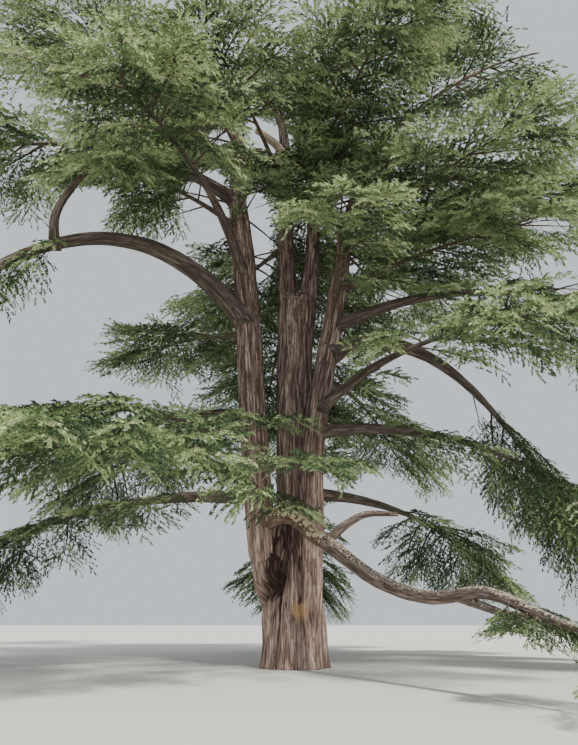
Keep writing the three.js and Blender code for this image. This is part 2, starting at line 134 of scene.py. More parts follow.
class Curve:
    """A centreline, sampled finely and read by its share of length."""

    def __init__(self, samples: Array) -> None:
        """Measures the samples.

        Args:
            samples: points along the line, one a row.
        """
        steps = np.linalg.norm(np.diff(samples, axis=0), axis=1)
        self.samples = samples
        self.length = float(steps.sum())
        self.shares = np.concatenate([[0], np.cumsum(steps)]) / self.length

    @classmethod
    def through(cls, route: Iterable[Point], per_span: int = 40) -> "Curve":
        """A centripetal Catmull-Rom line through a route.

        Args:
            route: the points that it passes.
            per_span: samples between two of them.

        Returns:
            The line.
        """
        points = np.array(list(route), dtype=float)
        padded = np.vstack([2 * points[0] - points[1], points, 2 * points[-1] - points[-2]])
        samples = []
        for i in range(1, len(padded) - 2):
            p0, p1, p2, p3 = padded[i - 1:i + 3]
            d0, d1, d2 = (max(math.sqrt(np.linalg.norm(b - a)), 1e-4) for a, b in ((p0, p1), (p1, p2), (p2, p3)))
            t1 = ((p1 - p0) / d0 - (p2 - p0) / (d0 + d1) + (p2 - p1) / d1) * d1
            t2 = ((p2 - p1) / d1 - (p3 - p1) / (d1 + d2) + (p3 - p2) / d2) * d1
            t = np.linspace(0, 1, per_span, endpoint=False)[:, None]
            samples.append(p1 + t1 * t + (-3 * p1 + 3 * p2 - 2 * t1 - t2) * t ** 2
                           + (2 * p1 - 2 * p2 + t1 + t2) * t ** 3)
        samples.append(points[-1:])
        return cls(np.vstack(samples))

    @classmethod
    def sagging(cls, start: Array, run: Array, sag: float, bend: Array | float = 0.0,
                samples: int = 24) -> "Curve":
        """A line that sets off along run and sags below it with the square of its share.

        Args:
            start: its first point.
            run: from the start to where it would end with no sag.
            sag: how far its end falls.
            bend: how far its end is drawn aside.
            samples: how finely it is sampled.

        Returns:
            The line.
        """
        t = np.linspace(0, 1, samples)[:, None]
        return cls(start + run * t + (bend - sag * UP) * t ** 2)

    def at(self, share: Array | float) -> Array:
        """The point, or points, at a share of the length."""
        return np.stack([np.interp(share, self.shares, self.samples[:, k]) for k in range(3)], axis=-1)

    def ahead(self, share: float) -> Array:
        """The direction of the line at a share of its length."""
        low, high = max(0.0, share - 0.01), min(1.0, share + 0.01)
        return unit(self.at(high) - self.at(low))

    def share_at_height(self, height: float) -> float:
        """The first share of the length at which the line passes a height."""
        above = np.nonzero(self.samples[:, 2] >= height)[0]
        first = int(above[0]) if len(above) else len(self.samples) - 1
        if first == 0:
            return 0.0
        z0, z1 = self.samples[first - 1:first + 1, 2]
        share = (height - z0) / (z1 - z0) if z1 > z0 else 0.0
        return float(np.interp(share, [0, 1], self.shares[first - 1:first + 1]))


@dataclass(frozen=True)
class Limb:
    """One tapering limb, with its centreline and its girth."""

    name: str
    curve: Curve
    base: float
    tip: float
    taper: float = 1.0
    flare: float = 0.0
    flare_length: float = 0.4

    def radius(self, share: Array | float) -> Array:
        """The radius in metres at a share of the length, with the collar where it leaves its parent."""
        share = np.asarray(share, dtype=float)
        plain = self.base * (1 - (1 - self.tip) * share ** self.taper)
        return plain * (1 + self.flare * np.exp(-share * self.curve.length / self.flare_length))


@dataclass(frozen=True)
class CarriedLimb(Limb):
    """A limb that carries on past its tip as the stem of the mass that grows there."""

    first: Limb | None = None
    beyond: Limb | None = None

    @classmethod
    def joining(cls, first: Limb, beyond: Limb) -> "CarriedLimb":
        """Joins a limb and the stem on its tip.

        Args:
            first: the limb.
            beyond: the stem that carries it on.

        Returns:
            One limb of both.
        """
        whole = Curve(np.vstack([first.curve.samples, beyond.curve.samples[1:]]))
        return cls(first.name, whole, first.base, beyond.tip, first=first, beyond=beyond)

    def radius(self, share: Array | float) -> Array:
        """The radius in metres at a share of the joined length."""
        along = np.asarray(share, dtype=float) * self.curve.length
        inner, outer = self.first.curve.length, self.beyond.curve.length
        return np.where(along < inner, self.first.radius(np.minimum(along / inner, 1)),
                        self.beyond.radius(np.clip((along - inner) / outer, 0, 1)))


# Stems: route, base radius, share of it left at the tip, taper. The first points of the three that
# stand on the trunk run on down inside it.
STEMS: dict[str, tuple[list[Point], list[Point], float, float, float]] = {
    "left_stem": ([(-0.98, -0.22, 2.6), (-1.08, -0.23, 3.4)],
                  [(-1.2, -0.25, 4.6), (-1.5, -0.4, 8), (-1.8, -0.45, 12.3), (-2.1, -0.4, 15.8),
                   (-2.42, -0.35, 18.8), (-2.3, -0.3, 20.6), (-2.9, -0.6, 22.2), (-4.3, -1.1, 23)],
                  0.52, 0.22, 4),
    "centre_stem": ([(0, 0.55, 4)],
                    [(0, 0.45, 4.6), (0, 0.36, 10.2), (0.16, 0.3, 13.9), (0.2, 0.3, 14.3)], 0.66, 1.2, 2),
    "right_stem": ([(0.42, -0.36, 2.3), (0.57, -0.5, 3.5)],
                   [(0.62, -0.55, 4.6), (0.7, -0.52, 7.6), (1.5, -0.65, 12.2), (2.2, -0.7, 16.4),
                    (2.9, -0.9, 19), (3.8, -1.3, 20.8), (5.2, -1.9, 21.8)], 0.43, 0.28, 3),
    "left_prong": ([(-0.1, 0.3, 12.6)],
                   [(-0.2, 0.3, 13.9), (-0.3, 0.4, 16.8), (-0.35, 0.6, 20.5), (-0.6, 0.9, 23.8),
                    (-1.4, 1.6, 25.6), (-2.8, 2.6, 26.3)], 0.37, 0.25, 1.6),
    "right_prong": ([(0.45, 0.3, 12.6)],
                    [(0.6, 0.3, 13.9), (0.85, 0.3, 16.7), (0.9, 0.2, 20.5), (1.2, 0.2, 23.4),
                     (2, -0.4, 25.2), (3.3, -1.2, 25.8)], 0.33, 0.25, 1.6),
}
LOBES = ("left_stem", "centre_stem", "right_stem")

# Boughs: parent, height, azimuth, reach, lift, sag, base radius, share left at the tip, and the mass
# of foliage on the tip: length, half width, how far its end hangs.
BOUGHS: dict[str, tuple[str, float, float, float, float, float, float, float, Point]] = {
    "left_arch": ("left_stem", 12.5, 211, 9.1, 44, 8.7, 0.42, 0.4, (4.4, 3.2, 1)),
    "upper_left": ("left_stem", 18.3, 203, 5.6, 28, 1.9, 0.3, 0.4, (6.4, 3.8, 1.6)),
    "right_arch": ("right_stem", 11.1, 19, 6.9, 32, 5.4, 0.38, 0.4, (5.4, 3.4, 1.8)),
    "low_left": ("left_stem", 5.6, 165, 7, 8, 1.2, 0.27, 0.4, (5.6, 3.6, 1)),
    "front_left": ("left_stem", 5.9, 247, 4.6, 6, 0.3, 0.2, 0.45, (6.2, 4, 0.5)),
    "far_left": ("left_stem", 7.8, 222, 4.6, 8, 0.5, 0.22, 0.45, (6, 3.6, 1.2)),
    "front_low": ("right_stem", 6.4, 262, 3.2, 0, 0.2, 0.13, 0.5, (4, 3, 0.5)),
    "front_right": ("right_stem", 8.8, 306, 4.6, 22, 0.9, 0.24, 0.45, (6.2, 3.6, 1)),
    "right_fan": ("right_stem", 12.2, 338, 5.4, 20, 1.4, 0.27, 0.45, (6.4, 3.8, 1.6)),
    "right_low": ("right_stem", 8, 352, 6, 8, 1.6, 0.25, 0.45, (5.8, 3.6, 2)),
    "front_high": ("left_stem", 14.6, 252, 4.6, 36, 1.6, 0.24, 0.45, (6.2, 4, 1)),
    "back_right_low": ("centre_stem", 5.9, 42, 6.6, 8, 1, 0.28, 0.4, (5.8, 3.8, 1.2)),
    "back_low": ("centre_stem", 5.3, 88, 6.4, 5, 0.8, 0.26, 0.4, (5.8, 3.8, 1)),
    "back_right": ("centre_stem", 10.4, 62, 6.2, 24, 1.6, 0.3, 0.4, (6.2, 3.8, 1.4)),
    "back_left": ("left_stem", 8.6, 132, 6.4, 22, 1.7, 0.28, 0.4, (6.2, 3.8, 1.4)),
    "back_high": ("centre_stem", 12.7, 98, 6, 30, 2, 0.3, 0.4, (6.2, 3.9, 1.4)),
}
ARCHES = ("left_arch", "right_arch")

# The branch on the left arch, and the lopped stub: route, base radius, share left at the tip.
SHOOTS: dict[str, tuple[list[Point], float, float]] = {
    "arch_branch": ([(-8.3, -4.45, 13.45), (-8.2, -5, 14.6), (-7.2, -5.2, 16.4)], 0.19, 0.5),
    "lopped_stub": ([(-0.38, 0.5, 20.9), (-0.6, 0.1, 21.5), (-1.15, 0, 22.05), (-1.66, 0, 22.5)], 0.2, 0.8),
}

# The low limb: route, base radius, share left at the tip, taper.
LOW_LIMB: dict[str, tuple[list[Point], float, float, float]] = {
    "low_elbow": ([(-1, -0.45, 4.7), (-0.5, -1.1, 4.85), (0, -1.55, 4.75), (0.6, -1.9, 4.15),
                   (1, -2.5, 3.85)], 0.27, 0.9, 1),
    "low_limb": ([(1, -2.5, 3.85), (2.3, -5, 2.55), (3.3, -7, 2.05), (4.15, -8.8, 2.1),
                  (4.8, -10.5, 1.6)], 0.24, 0.45, 1.2),
    "low_limb_branch": ([(3.7, -7.85, 2.06), (4.05, -8.4, 1.88), (4.42, -9.1, 1.68),
                         (4.7, -9.75, 1.6)], 0.12, 0.6, 1),
    "low_fork": ([(1.05, -2.55, 3.9), (1.6, -2.75, 4.35), (2.25, -3.05, 4.65), (3.2, -3.5, 4.6)],
                 0.17, 0.4, 1),
}
# Masses on the low limb's tips and on the stems' tops: length, half width, droop.
TIP_TIERS: dict[str, Point] = {
    "low_limb": (2.6, 1.9, -0.3),
    "left_stem": (7.4, 4.2, 1.8), "right_stem": (6, 3.8, 2),
    "left_prong": (6.4, 4.4, 2), "right_prong": (6.4, 4.4, 2),
}
# The low limb's side sprays: the share of its length where they begin, how long they are, and how far apart.
LOW_SPRAYS: dict[str, tuple[float, float, float]] = {"low_limb": (0.88, 1.2, 0.14),
                                                     "low_limb_branch": (0.72, 1.0, 0.1)}
# Sprays that hang across the stems in front: stem, height, azimuth, lift, length.
FRONT_SPRAYS: tuple[tuple[str, float, float, float, float], ...] = (
    ("left_stem", 8.7, 304, -14, 3.1), ("left_stem", 8.5, 262, -8, 2.6), ("left_stem", 6.1, 301, -20, 3.5),
    ("right_stem", 6.2, 300, -6, 2.6),
)
# Sprays behind the stems: stem, the heights and the azimuths between which they stand.
BACK_SPRAYS: tuple[tuple[str, Pair, Pair], ...] = (
    ("left_stem", (8.8, 15.8), (70, 150)), ("centre_stem", (7.6, 14.1), (45, 135)),
    ("right_stem", (8.6, 14.2), (30, 100)), ("left_prong", (14.4, 16.2), (60, 150)),
    ("right_prong", (14.2, 15.6), (30, 120)),
)
# Above these heights the stems carry short side limbs all round.
LEAFY_ABOVE: dict[str, float] = {"left_stem": 16.5, "right_stem": 14.5, "left_prong": 16.0, "right_prong": 15.5}
# Masses straight from a stem's side: height, azimuth, length, half width, droop, lift.
STEM_TIERS: dict[str, list[Point]] = {
    "left_stem": [(20.2, 172, 7.4, 3.6, 1.2, 12), (16.9, 226, 7.2, 3.2, 2, 12),
                  (12, 135, 8, 3.6, 1.5, 20)],
    "right_stem": [(13.2, 268, 6.6, 2.8, 1.2, 14), (15.6, 310, 9, 3.8, 1.8, 18),
                   (17, 352, 9.2, 3.8, 2, 16), (13.8, 330, 8.2, 3.6, 1.5, 16)],
    "left_prong": [(16.6, 118, 9, 3.8, 1.6, 12), (19.4, 252, 9.4, 3.8, 2, 16)],
    "right_prong": [(17.4, 60, 9, 3.8, 1.6, 12), (20.4, 288, 8.6, 3.8, 1.6, 14)],
}


class NodeTree:
    """A node tree under construction, with short ways to add the nodes that come often."""

    def __init__(self, tree: bpy.types.NodeTree) -> None:
        """Takes the node tree of a material or a modifier, and clears it."""
        self.tree = tree
        tree.nodes.clear()

    def add(self, kind: str, inputs: dict[str | int, object] | None = None, **settings: object) -> bpy.types.Node:
        """Adds a node with its settings and links.

        Args:
            kind: the node's type name.
            inputs: a value or an output socket for each named or numbered input.
            settings: the node's own properties.

        Returns:
            The node.
        """
        node = self.tree.nodes.new(kind)
        for name, value in settings.items():
            setattr(node, name, value)
        for name, value in (inputs or {}).items():
            if isinstance(value, Socket):
                self.tree.links.new(value, node.inputs[name])
            else:
                node.inputs[name].default_value = value
        return node

    def out(self, kind: str, inputs: dict[str | int, Value] | None = None, output: int | str = 0,
            **settings: object) -> Socket:
        """Adds a node in the same way, to give one of its outputs."""
        return self.add(kind, inputs, **settings).outputs[output]

    def math(self, operation: str, *values: Value, clamped: bool = False) -> Socket:
        """Works on numbers."""
        return self.out("ShaderNodeMath", dict(enumerate(values)), operation=operation, use_clamp=clamped)

    def vector(self, operation: str, *values: Value) -> Socket:
        """Works on vectors, to give a vector."""
        return self.out("ShaderNodeVectorMath", dict(enumerate(values)), operation=operation)

    def noise(self, place: Value, scale: Value, detail: float, output: str = "Fac", **more: Value) -> Socket:
        """Smooth noise at a place, seeded by its fourth dimension where a W is given."""
        inputs = {"Vector": place, "Scale": scale, "Detail": detail, **more}
        return self.out("ShaderNodeTexNoise", inputs, output, noise_dimensions="4D" if "W" in more else "3D")

    def cells(self, place: Value, scale: Value) -> tuple[Socket, Socket]:
        """Cells as of plates: how far a place lies from their edges, and each cell's own colour."""
        inputs = {"Vector": place, "Scale": scale}
        return (self.out("ShaderNodeTexVoronoi", inputs, "Distance", feature="DISTANCE_TO_EDGE"),
                self.out("ShaderNodeTexVoronoi", inputs, "Color"))

    def ranged(self, value: Value, low: float, high: float, at_low: float = 0.0, at_high: float = 1.0,
               **settings: object) -> Socket:
        """A number between low and high, moved to lie between at_low and at_high."""
        ends = {"From Min": low, "From Max": high, "To Min": at_low, "To Max": at_high}
        return self.out("ShaderNodeMapRange", {"Value": value, **ends}, "Result", **settings)

    def mean(self, share: float, first: Value, second: Value) -> Socket:
        """Mixes two numbers, by the share of the second."""
        return self.out("ShaderNodeMix", {"Factor": share, 2: first, 3: second})

    def blend(self, share: Value, first: Value, second: Value) -> Socket:
        """Mixes two colours, by the share of the second."""
        return self.out("ShaderNodeMix", {"Factor": share, 6: first, 7: second}, 2, data_type="RGBA")

    def ramp(self, factor: Socket, places: Pair, *colours: str) -> Socket:
        """A colour between two, by where a number lies between two places.

        Args:
            factor: the number.
            places: where it has to lie for the first colour and for the second.
            colours: the two, in hex.

        Returns:
            The colour's socket.
        """
        node = self.add("ShaderNodeValToRGB", {"Fac": factor})
        for element, place, colour in zip(node.color_ramp.elements, places, colours):
            element.position = place
            element.color = linear(colour)
        return node.outputs["Color"]

    def surface(self, colour: Value, roughness: float, shine: float, **more: Value) -> None:
        """Ends a material's tree in a plain surface."""
        look = {"Base Color": colour, "Roughness": roughness, "Specular IOR Level": shine, **more}
        self.add("ShaderNodeOutputMaterial", {"Surface": self.out("ShaderNodeBsdfPrincipled", look, "BSDF")})

    def stored(self, name: str, kind: str = "FLOAT") -> Socket:
        """What a mesh stores at its corners, read in Geometry Nodes."""
        return self.out("GeometryNodeInputNamedAttribute", {"Name": name}, "Attribute", data_type=kind)

    def close(self, geometry: Socket, material: Socket) -> None:
        """Ends a geometry tree, with its instances made real and its finish set."""
        real = self.out("GeometryNodeRealizeInstances", {"Geometry": geometry})
        self.add("NodeGroupOutput", {0: self.out("GeometryNodeSetMaterial", {"Geometry": real, "Material": material})})


def blank_material(name: str) -> tuple[bpy.types.Material, NodeTree]:
    """A material with nothing in it.

    Args:
        name: what it is called.

    Returns:
        The material and its node tree.
    """
    made = bpy.data.materials.new(name)
    made.use_nodes = True
    return made, NodeTree(made.node_tree)


def geometry_group(name: str, inputs: dict[str, str]) -> tuple[NodeTree, bpy.types.NodeOutputs]:
    """A group for a Geometry Nodes modifier.

    Args:
        name: what it is called.
        inputs: the kind of each named input.

    Returns:
        The group's tree under construction, and what its inputs give.
    """
    made = NodeTree(bpy.data.node_groups.new(name, "GeometryNodeTree"))
    faces = made.tree.interface
    faces.new_socket("Geometry", in_out="OUTPUT", socket_type="NodeSocketGeometry")
    for socket, kind in {"Geometry": "Geometry", **inputs}.items():
        faces.new_socket(socket, in_out="INPUT", socket_type="NodeSocket" + kind)
    return made, made.add("NodeGroupInput").outputs


class Moss(Enum):
    """How much grey lichen a limb carries on its upper side."""

    BARE = 0.0
    GREY = 0.85


@dataclass(frozen=True)
class CedarBark:
    """Living cedar bark, as it grows: fine upright fissures between narrow, flaking, pinkish-brown plates.

    Low down it is rubbed and sunlit pink, with painted sunlight. Higher up it greys and darkens, partly with painted
    shade, and on the low limb lichen lies on top. Painted shade darkens the trunk's recesses.
    """

    name: str
    mesh_spacing: float
    lichen: Moss = Moss.BARE
    fissure: str = "#3d302b"
    low_plate: str = "#8c7066"
    low_flake: str = "#f0d3c8"
    low_tones: Pair = (0.38, 0.62)
    high_plate: str = "#63504a"
    high_flake: str = "#cdb8ac"
    high_tones: Pair = (0.43, 0.64)
    greying_and_shade: Pair = (4.0, 9.0)
    plate_width: float = 0.055
    plate_wander: float = 0.07
    wander_scale: float = 5.0
    grain_scale: float = 70.0
    patch_size: float = 0.16
    patch_share: float = 0.6
    plate_share: float = 0.25
    crack_width: float = 0.2
    crack_shade: float = 0.45
    furrow_shade: float = 0.38
    recess_shade: float = 0.5
    bump_depth: float = 0.012
    bump_strength: float = 0.9
    roughness: float = 0.92
    shine: float = 0.15
    lichen_colour: str = "#c9c0ae"
    lichen_edge: Pair = (0.66, 0.7)
    lichen_size: float = 0.09
    lichen_rise: float = 0.22
    scar: bool = False
    scar_colour: str = "#c9a476"
    scar_place: tuple[float, float, float] = (0.18, -1.1, 1.78)
    scar_size: tuple[float, float, float] = (0.38, 0.6, 0.38)
    scar_edge: Pair = (1.35, 1.8)
    scar_scale: float = 6.0
    scar_raggedness: float = 1.6
    scar_share: float = 0.7

    def material(self) -> bpy.types.Material:
        """Builds the bark from the relief that the limb's mesh carries.

        Returns:
            The material.
        """
        made, tree = blank_material(self.name)
        place = tree.out("ShaderNodeAttribute", None, "Vector", attribute_name="bark_place")
        furrow, recess = (tree.out("ShaderNodeAttribute", None, "Fac", attribute_name=name)
                          for name in ("furrow", "recess"))
        where = tree.out("ShaderNodeTexCoord", None, "Object")
        wander = tree.noise(place, self.wander_scale, 2.0, "Color")
        bent = tree.vector("MULTIPLY_ADD", wander, (self.plate_wander,) * 3, place)
        edges, cells = tree.cells(bent, 1 / self.plate_width)
        grain = tree.noise(place, self.grain_scale, 4.0)
        broad = tree.noise(place, 1 / self.patch_size, 3.0)
        crack = tree.ranged(edges, 0.0, self.crack_width, self.crack_shade, 0.0)
        fissured = tree.math("MULTIPLY_ADD", furrow, self.furrow_shade, crack)
        # Painted shade: the bark darkens where the trunk's surface is sunk below its neighbours, in its recesses.
        shade = tree.math("MULTIPLY_ADD", recess, self.recess_shade, fissured, clamped=True)
        tone = tree.mean(self.plate_share, tree.mean(self.patch_share, grain, broad), cells)
        low = tree.ramp(tone, self.low_tones, self.low_plate, self.low_flake)
        high = tree.ramp(tone, self.high_tones, self.high_plate, self.high_flake)
        rise = tree.out("ShaderNodeSeparateXYZ", {0: where}, "Z")
        # The plates blend with height from the pink low tints, with painted sunlight, to the greyer, darker high ones,
        # partly painted shade.
        plate = tree.blend(tree.ranged(rise, *self.greying_and_shade), low, high)
        colour = tree.blend(shade, plate, linear(self.fissure))
        if self.scar:
            colour = self.with_scar(tree, colour, where)
        if self.lichen is not Moss.BARE:
            colour = self.with_lichen(tree, colour, where)
        bump = tree.out("ShaderNodeBump", {"Height": tree.math("SUBTRACT", grain, shade),
                                           "Distance": self.bump_depth, "Strength": self.bump_strength}, "Normal")
        tree.surface(colour, self.roughness, self.shine, Normal=bump)
        return made

    def with_scar(self, tree: NodeTree, colour: Socket, where: Socket) -> Socket:
        """Bares a patch of ochre inner bark on the front of the trunk.

        Args:
            tree: the material's tree.
            colour: the whole bark's colour.
            where: the surface's place.

        Returns:
            The colour with the patch in it.
        """
        scaled = tree.vector("DIVIDE", tree.vector("SUBTRACT", where, self.scar_place), self.scar_size)
        far = tree.out("ShaderNodeVectorMath", {0: scaled}, "Value", operation="LENGTH")
        edge = tree.math("MULTIPLY_ADD", tree.noise(where, self.scar_scale, 5.0), self.scar_raggedness, far)
        return tree.blend(tree.ranged(edge, *self.scar_edge, self.scar_share, 0.0), colour, linear(self.scar_colour))

    def with_lichen(self, tree: NodeTree, colour: Socket, where: Socket) -> Socket:
        """Lays grey lichen over the upper side, in patches.

        Args:
            tree: the material's tree.
            colour: the bare bark's colour.
            where: the surface's place.

        Returns:
            The colour with the lichen on it.
        """
        rise = tree.out("ShaderNodeSeparateXYZ", {0: tree.out("ShaderNodeNewGeometry", None, "Normal")}, "Z")
        upper = tree.math("MULTIPLY_ADD", rise, self.lichen_rise, tree.noise(where, 1 / self.lichen_size, 3.0))
        cover = tree.ranged(upper, *self.lichen_edge, 0.0, self.lichen.value)
        return tree.blend(cover, colour, linear(self.lichen_colour))


# The bark of the trunk and the stems, the boughs, the lopped stub, the low limb, and its first bend, each
# with how far apart the corners of its meshes lie.
BARKS: dict[str, CedarBark] = {
    "furrowed": CedarBark("living cedar bark, fissured", 0.042, scar=True),
    "grey": CedarBark("living cedar bark, weathered grey", 0.05, low_plate="#524b44", low_flake="#938a80",
                      high_plate="#524b44", high_flake="#938a80"),
    "pale": CedarBark("dead cedar wood, weathered pale", 0.036, fissure="#806f64", low_plate="#c9b09c",
                      high_plate="#c9b09c", high_flake="#f0dccb"),
    "lichened": CedarBark("living cedar bark, lichened", 0.03, Moss.GREY, low_plate="#594e48",
                          low_flake="#a89890", lichen_edge=(0.68, 0.78), lichen_size=0.07),
    "crusted": CedarBark("living cedar bark, thick with lichen", 0.03, Moss.GREY, low_plate="#6d5d50",
                         low_flake="#a8917c", lichen_colour="#d6cbaa", lichen_edge=(0.56, 0.6), lichen_size=0.15),
}


@dataclass(frozen=True)
class Mottled:
    """A waxy or matt finish that drifts between two colours from place to place."""

    name: str
    dark: str
    light: str
    drift: float = 0.5
    detail: float = 6.0
    coarseness: float = 0.7
    tones: Pair = (0.36, 0.64)
    roughness: float = 0.62
    shine: float = 0.25

    def material(self) -> bpy.types.Material:
        """Builds the finish.

        Returns:
            The material.
        """
        made, tree = blank_material(self.name)
        where = tree.out("ShaderNodeTexCoord", None, "Object")
        patches = tree.noise(where, 1 / self.drift, self.detail, Roughness=self.coarseness)
        tree.surface(tree.ramp(patches, self.tones, self.dark, self.light), self.roughness, self.shine)
        return made


TWIG_FINISH = Mottled("young cedar twig bark", "#3f3830", "#77695b", 0.09, 3.0, 0.5, (0.35, 0.7), 0.9, 0.2)


class Green(Enum):
    """The three greens that sprays are dealt: the needles with painted sunlight, plain, and with painted shade."""

    SUNLIT = 0
    LEAF = 1
    SHADED = 2


# One needle green in three copies: with painted sunlight, plain, and with painted shade.
NEEDLE_FINISHES: dict[Green, Mottled] = {
    Green.SUNLIT: Mottled("fresh cedar needles", "#92a571", "#c6d3a6"),
    Green.LEAF: Mottled("grown cedar needles", "#657b52", "#97aa7a"),
    Green.SHADED: Mottled("old cedar needles", "#394b31", "#586d4d"),
}


def placed(name: str, data: bpy.types.ID) -> bpy.types.Object:
    """Puts an object in the scene.

    Args:
        name: its name.
        data: the mesh, camera or lamp that it shows.

    Returns:
        The object.
    """
    made = bpy.data.objects.new(name, data)
    bpy.context.scene.collection.objects.link(made)
    return made


def mesh_object(name: str, corners: Array, *faces: Array, smooth_faces: bool = True) -> bpy.types.Object:
    """Makes an object from arrays.

    Args:
        name: the object's name.
        corners: one corner a row.
        faces: arrays of faces, each of one size, with the corner numbers of one face a row.
        smooth_faces: whether it shades smoothly.

    Returns:
        The object, linked to the scene.
    """
    mesh = bpy.data.meshes.new(name)
    sizes = np.concatenate([np.full(len(batch), batch.shape[1]) for batch in faces] or [np.zeros(0)])
    loops = np.concatenate([batch.ravel() for batch in faces] or [np.zeros(0)])
    mesh.vertices.add(len(corners))
    mesh.vertices.foreach_set("co", np.asarray(corners, dtype=np.float32).ravel())
    mesh.loops.add(len(loops))
    mesh.loops.foreach_set("vertex_index", loops.astype(np.int32))
    mesh.polygons.add(len(sizes))
    mesh.polygons.foreach_set("loop_start", (np.cumsum(sizes) - sizes).astype(np.int32))
    mesh.polygons.foreach_set("use_smooth", np.full(len(sizes), smooth_faces))
    mesh.update(calc_edges=True)
    return placed(name, mesh)


def store(made: bpy.types.Object, name: str, values: Array) -> None:
    """Stores a number or a vector for each corner of a mesh.

    Args:
        made: the mesh object.
        name: the attribute's name.
        values: one number or one row a corner.
    """
    kind, key = ("FLOAT_VECTOR", "vector") if values.ndim > 1 else ("FLOAT", "value")
    made.data.attributes.new(name, kind, "POINT").data.foreach_set(key, values.astype(np.float32).ravel())


def run_group(made: bpy.types.Object, group: bpy.types.NodeTree, values: dict[str, object]) -> bpy.types.Object:
    """Runs a geometry group over an object, and leaves it as the plain mesh that comes out.

    Args:
        made: the object.
        group: the group.
        values: what its named inputs are given.

    Returns:
        The same object, with no modifier left.
    """
    modifier = made.modifiers.new(group.name, "NODES")
    modifier.node_group = group
    for item in group.interface.items_tree:
        if item.in_out == "INPUT" and item.name in values:
            modifier[item.identifier] = values[item.name]
    evaluated = made.evaluated_get(bpy.context.evaluated_depsgraph_get())
    mesh = bpy.data.meshes.new_from_object(evaluated)
    made.modifiers.clear()
    old = made.data
    made.data = mesh
    mesh.name = made.name
    bpy.data.meshes.remove(old)
    return made


def seat(made: bpy.types.Object, slot: str, *nodes: str) -> None:
    """Puts a finished piece on the body in place of its solids.

    Args:
        made: the finished mesh.
        slot: not used.
        nodes: the solids that it stands for.
    """
    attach(made, BODY)
    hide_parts(*nodes)
    log.info("%s: %d faces", made.name, len(made.data.polygons))


def rings_along(curve: Curve, radii: Array, shares: Array, sides: int) -> tuple[Array, Array]:
    """The corners of a tube along a curve, with no twist.

    Args:
        curve: its centreline.
        radii: its radius at each share.
        shares: where its rings lie.
        sides: corners in a ring.

    Returns:
        The corners, and each corner's place across and along the limb, for patterns.
    """
    middles = curve.at(shares)
    ahead = unit(np.gradient(middles, axis=0))
    across = np.cross(ahead[0], UP if abs(ahead[0][2]) < 0.9 else np.array([0.0, 1.0, 0.0]))
    angles = np.arange(sides) * TAU / sides
    corners, places = [], []
    for middle, forward, radius, share in zip(middles, ahead, radii, shares):
        across = unit(across - forward * float(forward @ across))
        aside = np.cross(forward, across)
        ring = np.cos(angles)[:, None] * across + np.sin(angles)[:, None] * aside
        corners.append(middle + ring * radius)
        places.append(np.column_stack([np.cos(angles) * radius, np.sin(angles) * radius,
                                       np.full(sides, share * curve.length)]))
    return np.vstack(corners), np.vstack(places)


def ring_faces(rings: int, sides: int) -> Array:
    """The four-sided faces between the rings of a tube.

    Args:
        rings: how many rings it has.
        sides: corners in a ring.

    Returns:
        One face a row.
    """
    ring, side = np.meshgrid(np.arange(rings - 1), np.arange(sides), indexing="ij")
    here, there = ring * sides, (ring + 1) * sides
    nearby = (side + 1) % sides
    return np.stack([here + side, here + nearby, there + nearby, there + side], axis=-1).reshape(-1, 4)


def end_faces(rings: int, sides: int) -> Array:
    """The triangles that close a tube, whose two poles follow its last ring.

    Args:
        rings: how many rings it has.
        sides: corners in a ring.

    Returns:
        One triangle a row.
    """
    side = np.arange(sides)
    nearby = (side + 1) % sides
    top = (rings - 1) * sides
    first, last = np.full(sides, rings * sides), np.full(sides, rings * sides + 1)
    return np.vstack([np.column_stack([nearby, side, first]), np.column_stack([top + side, top + nearby, last])])


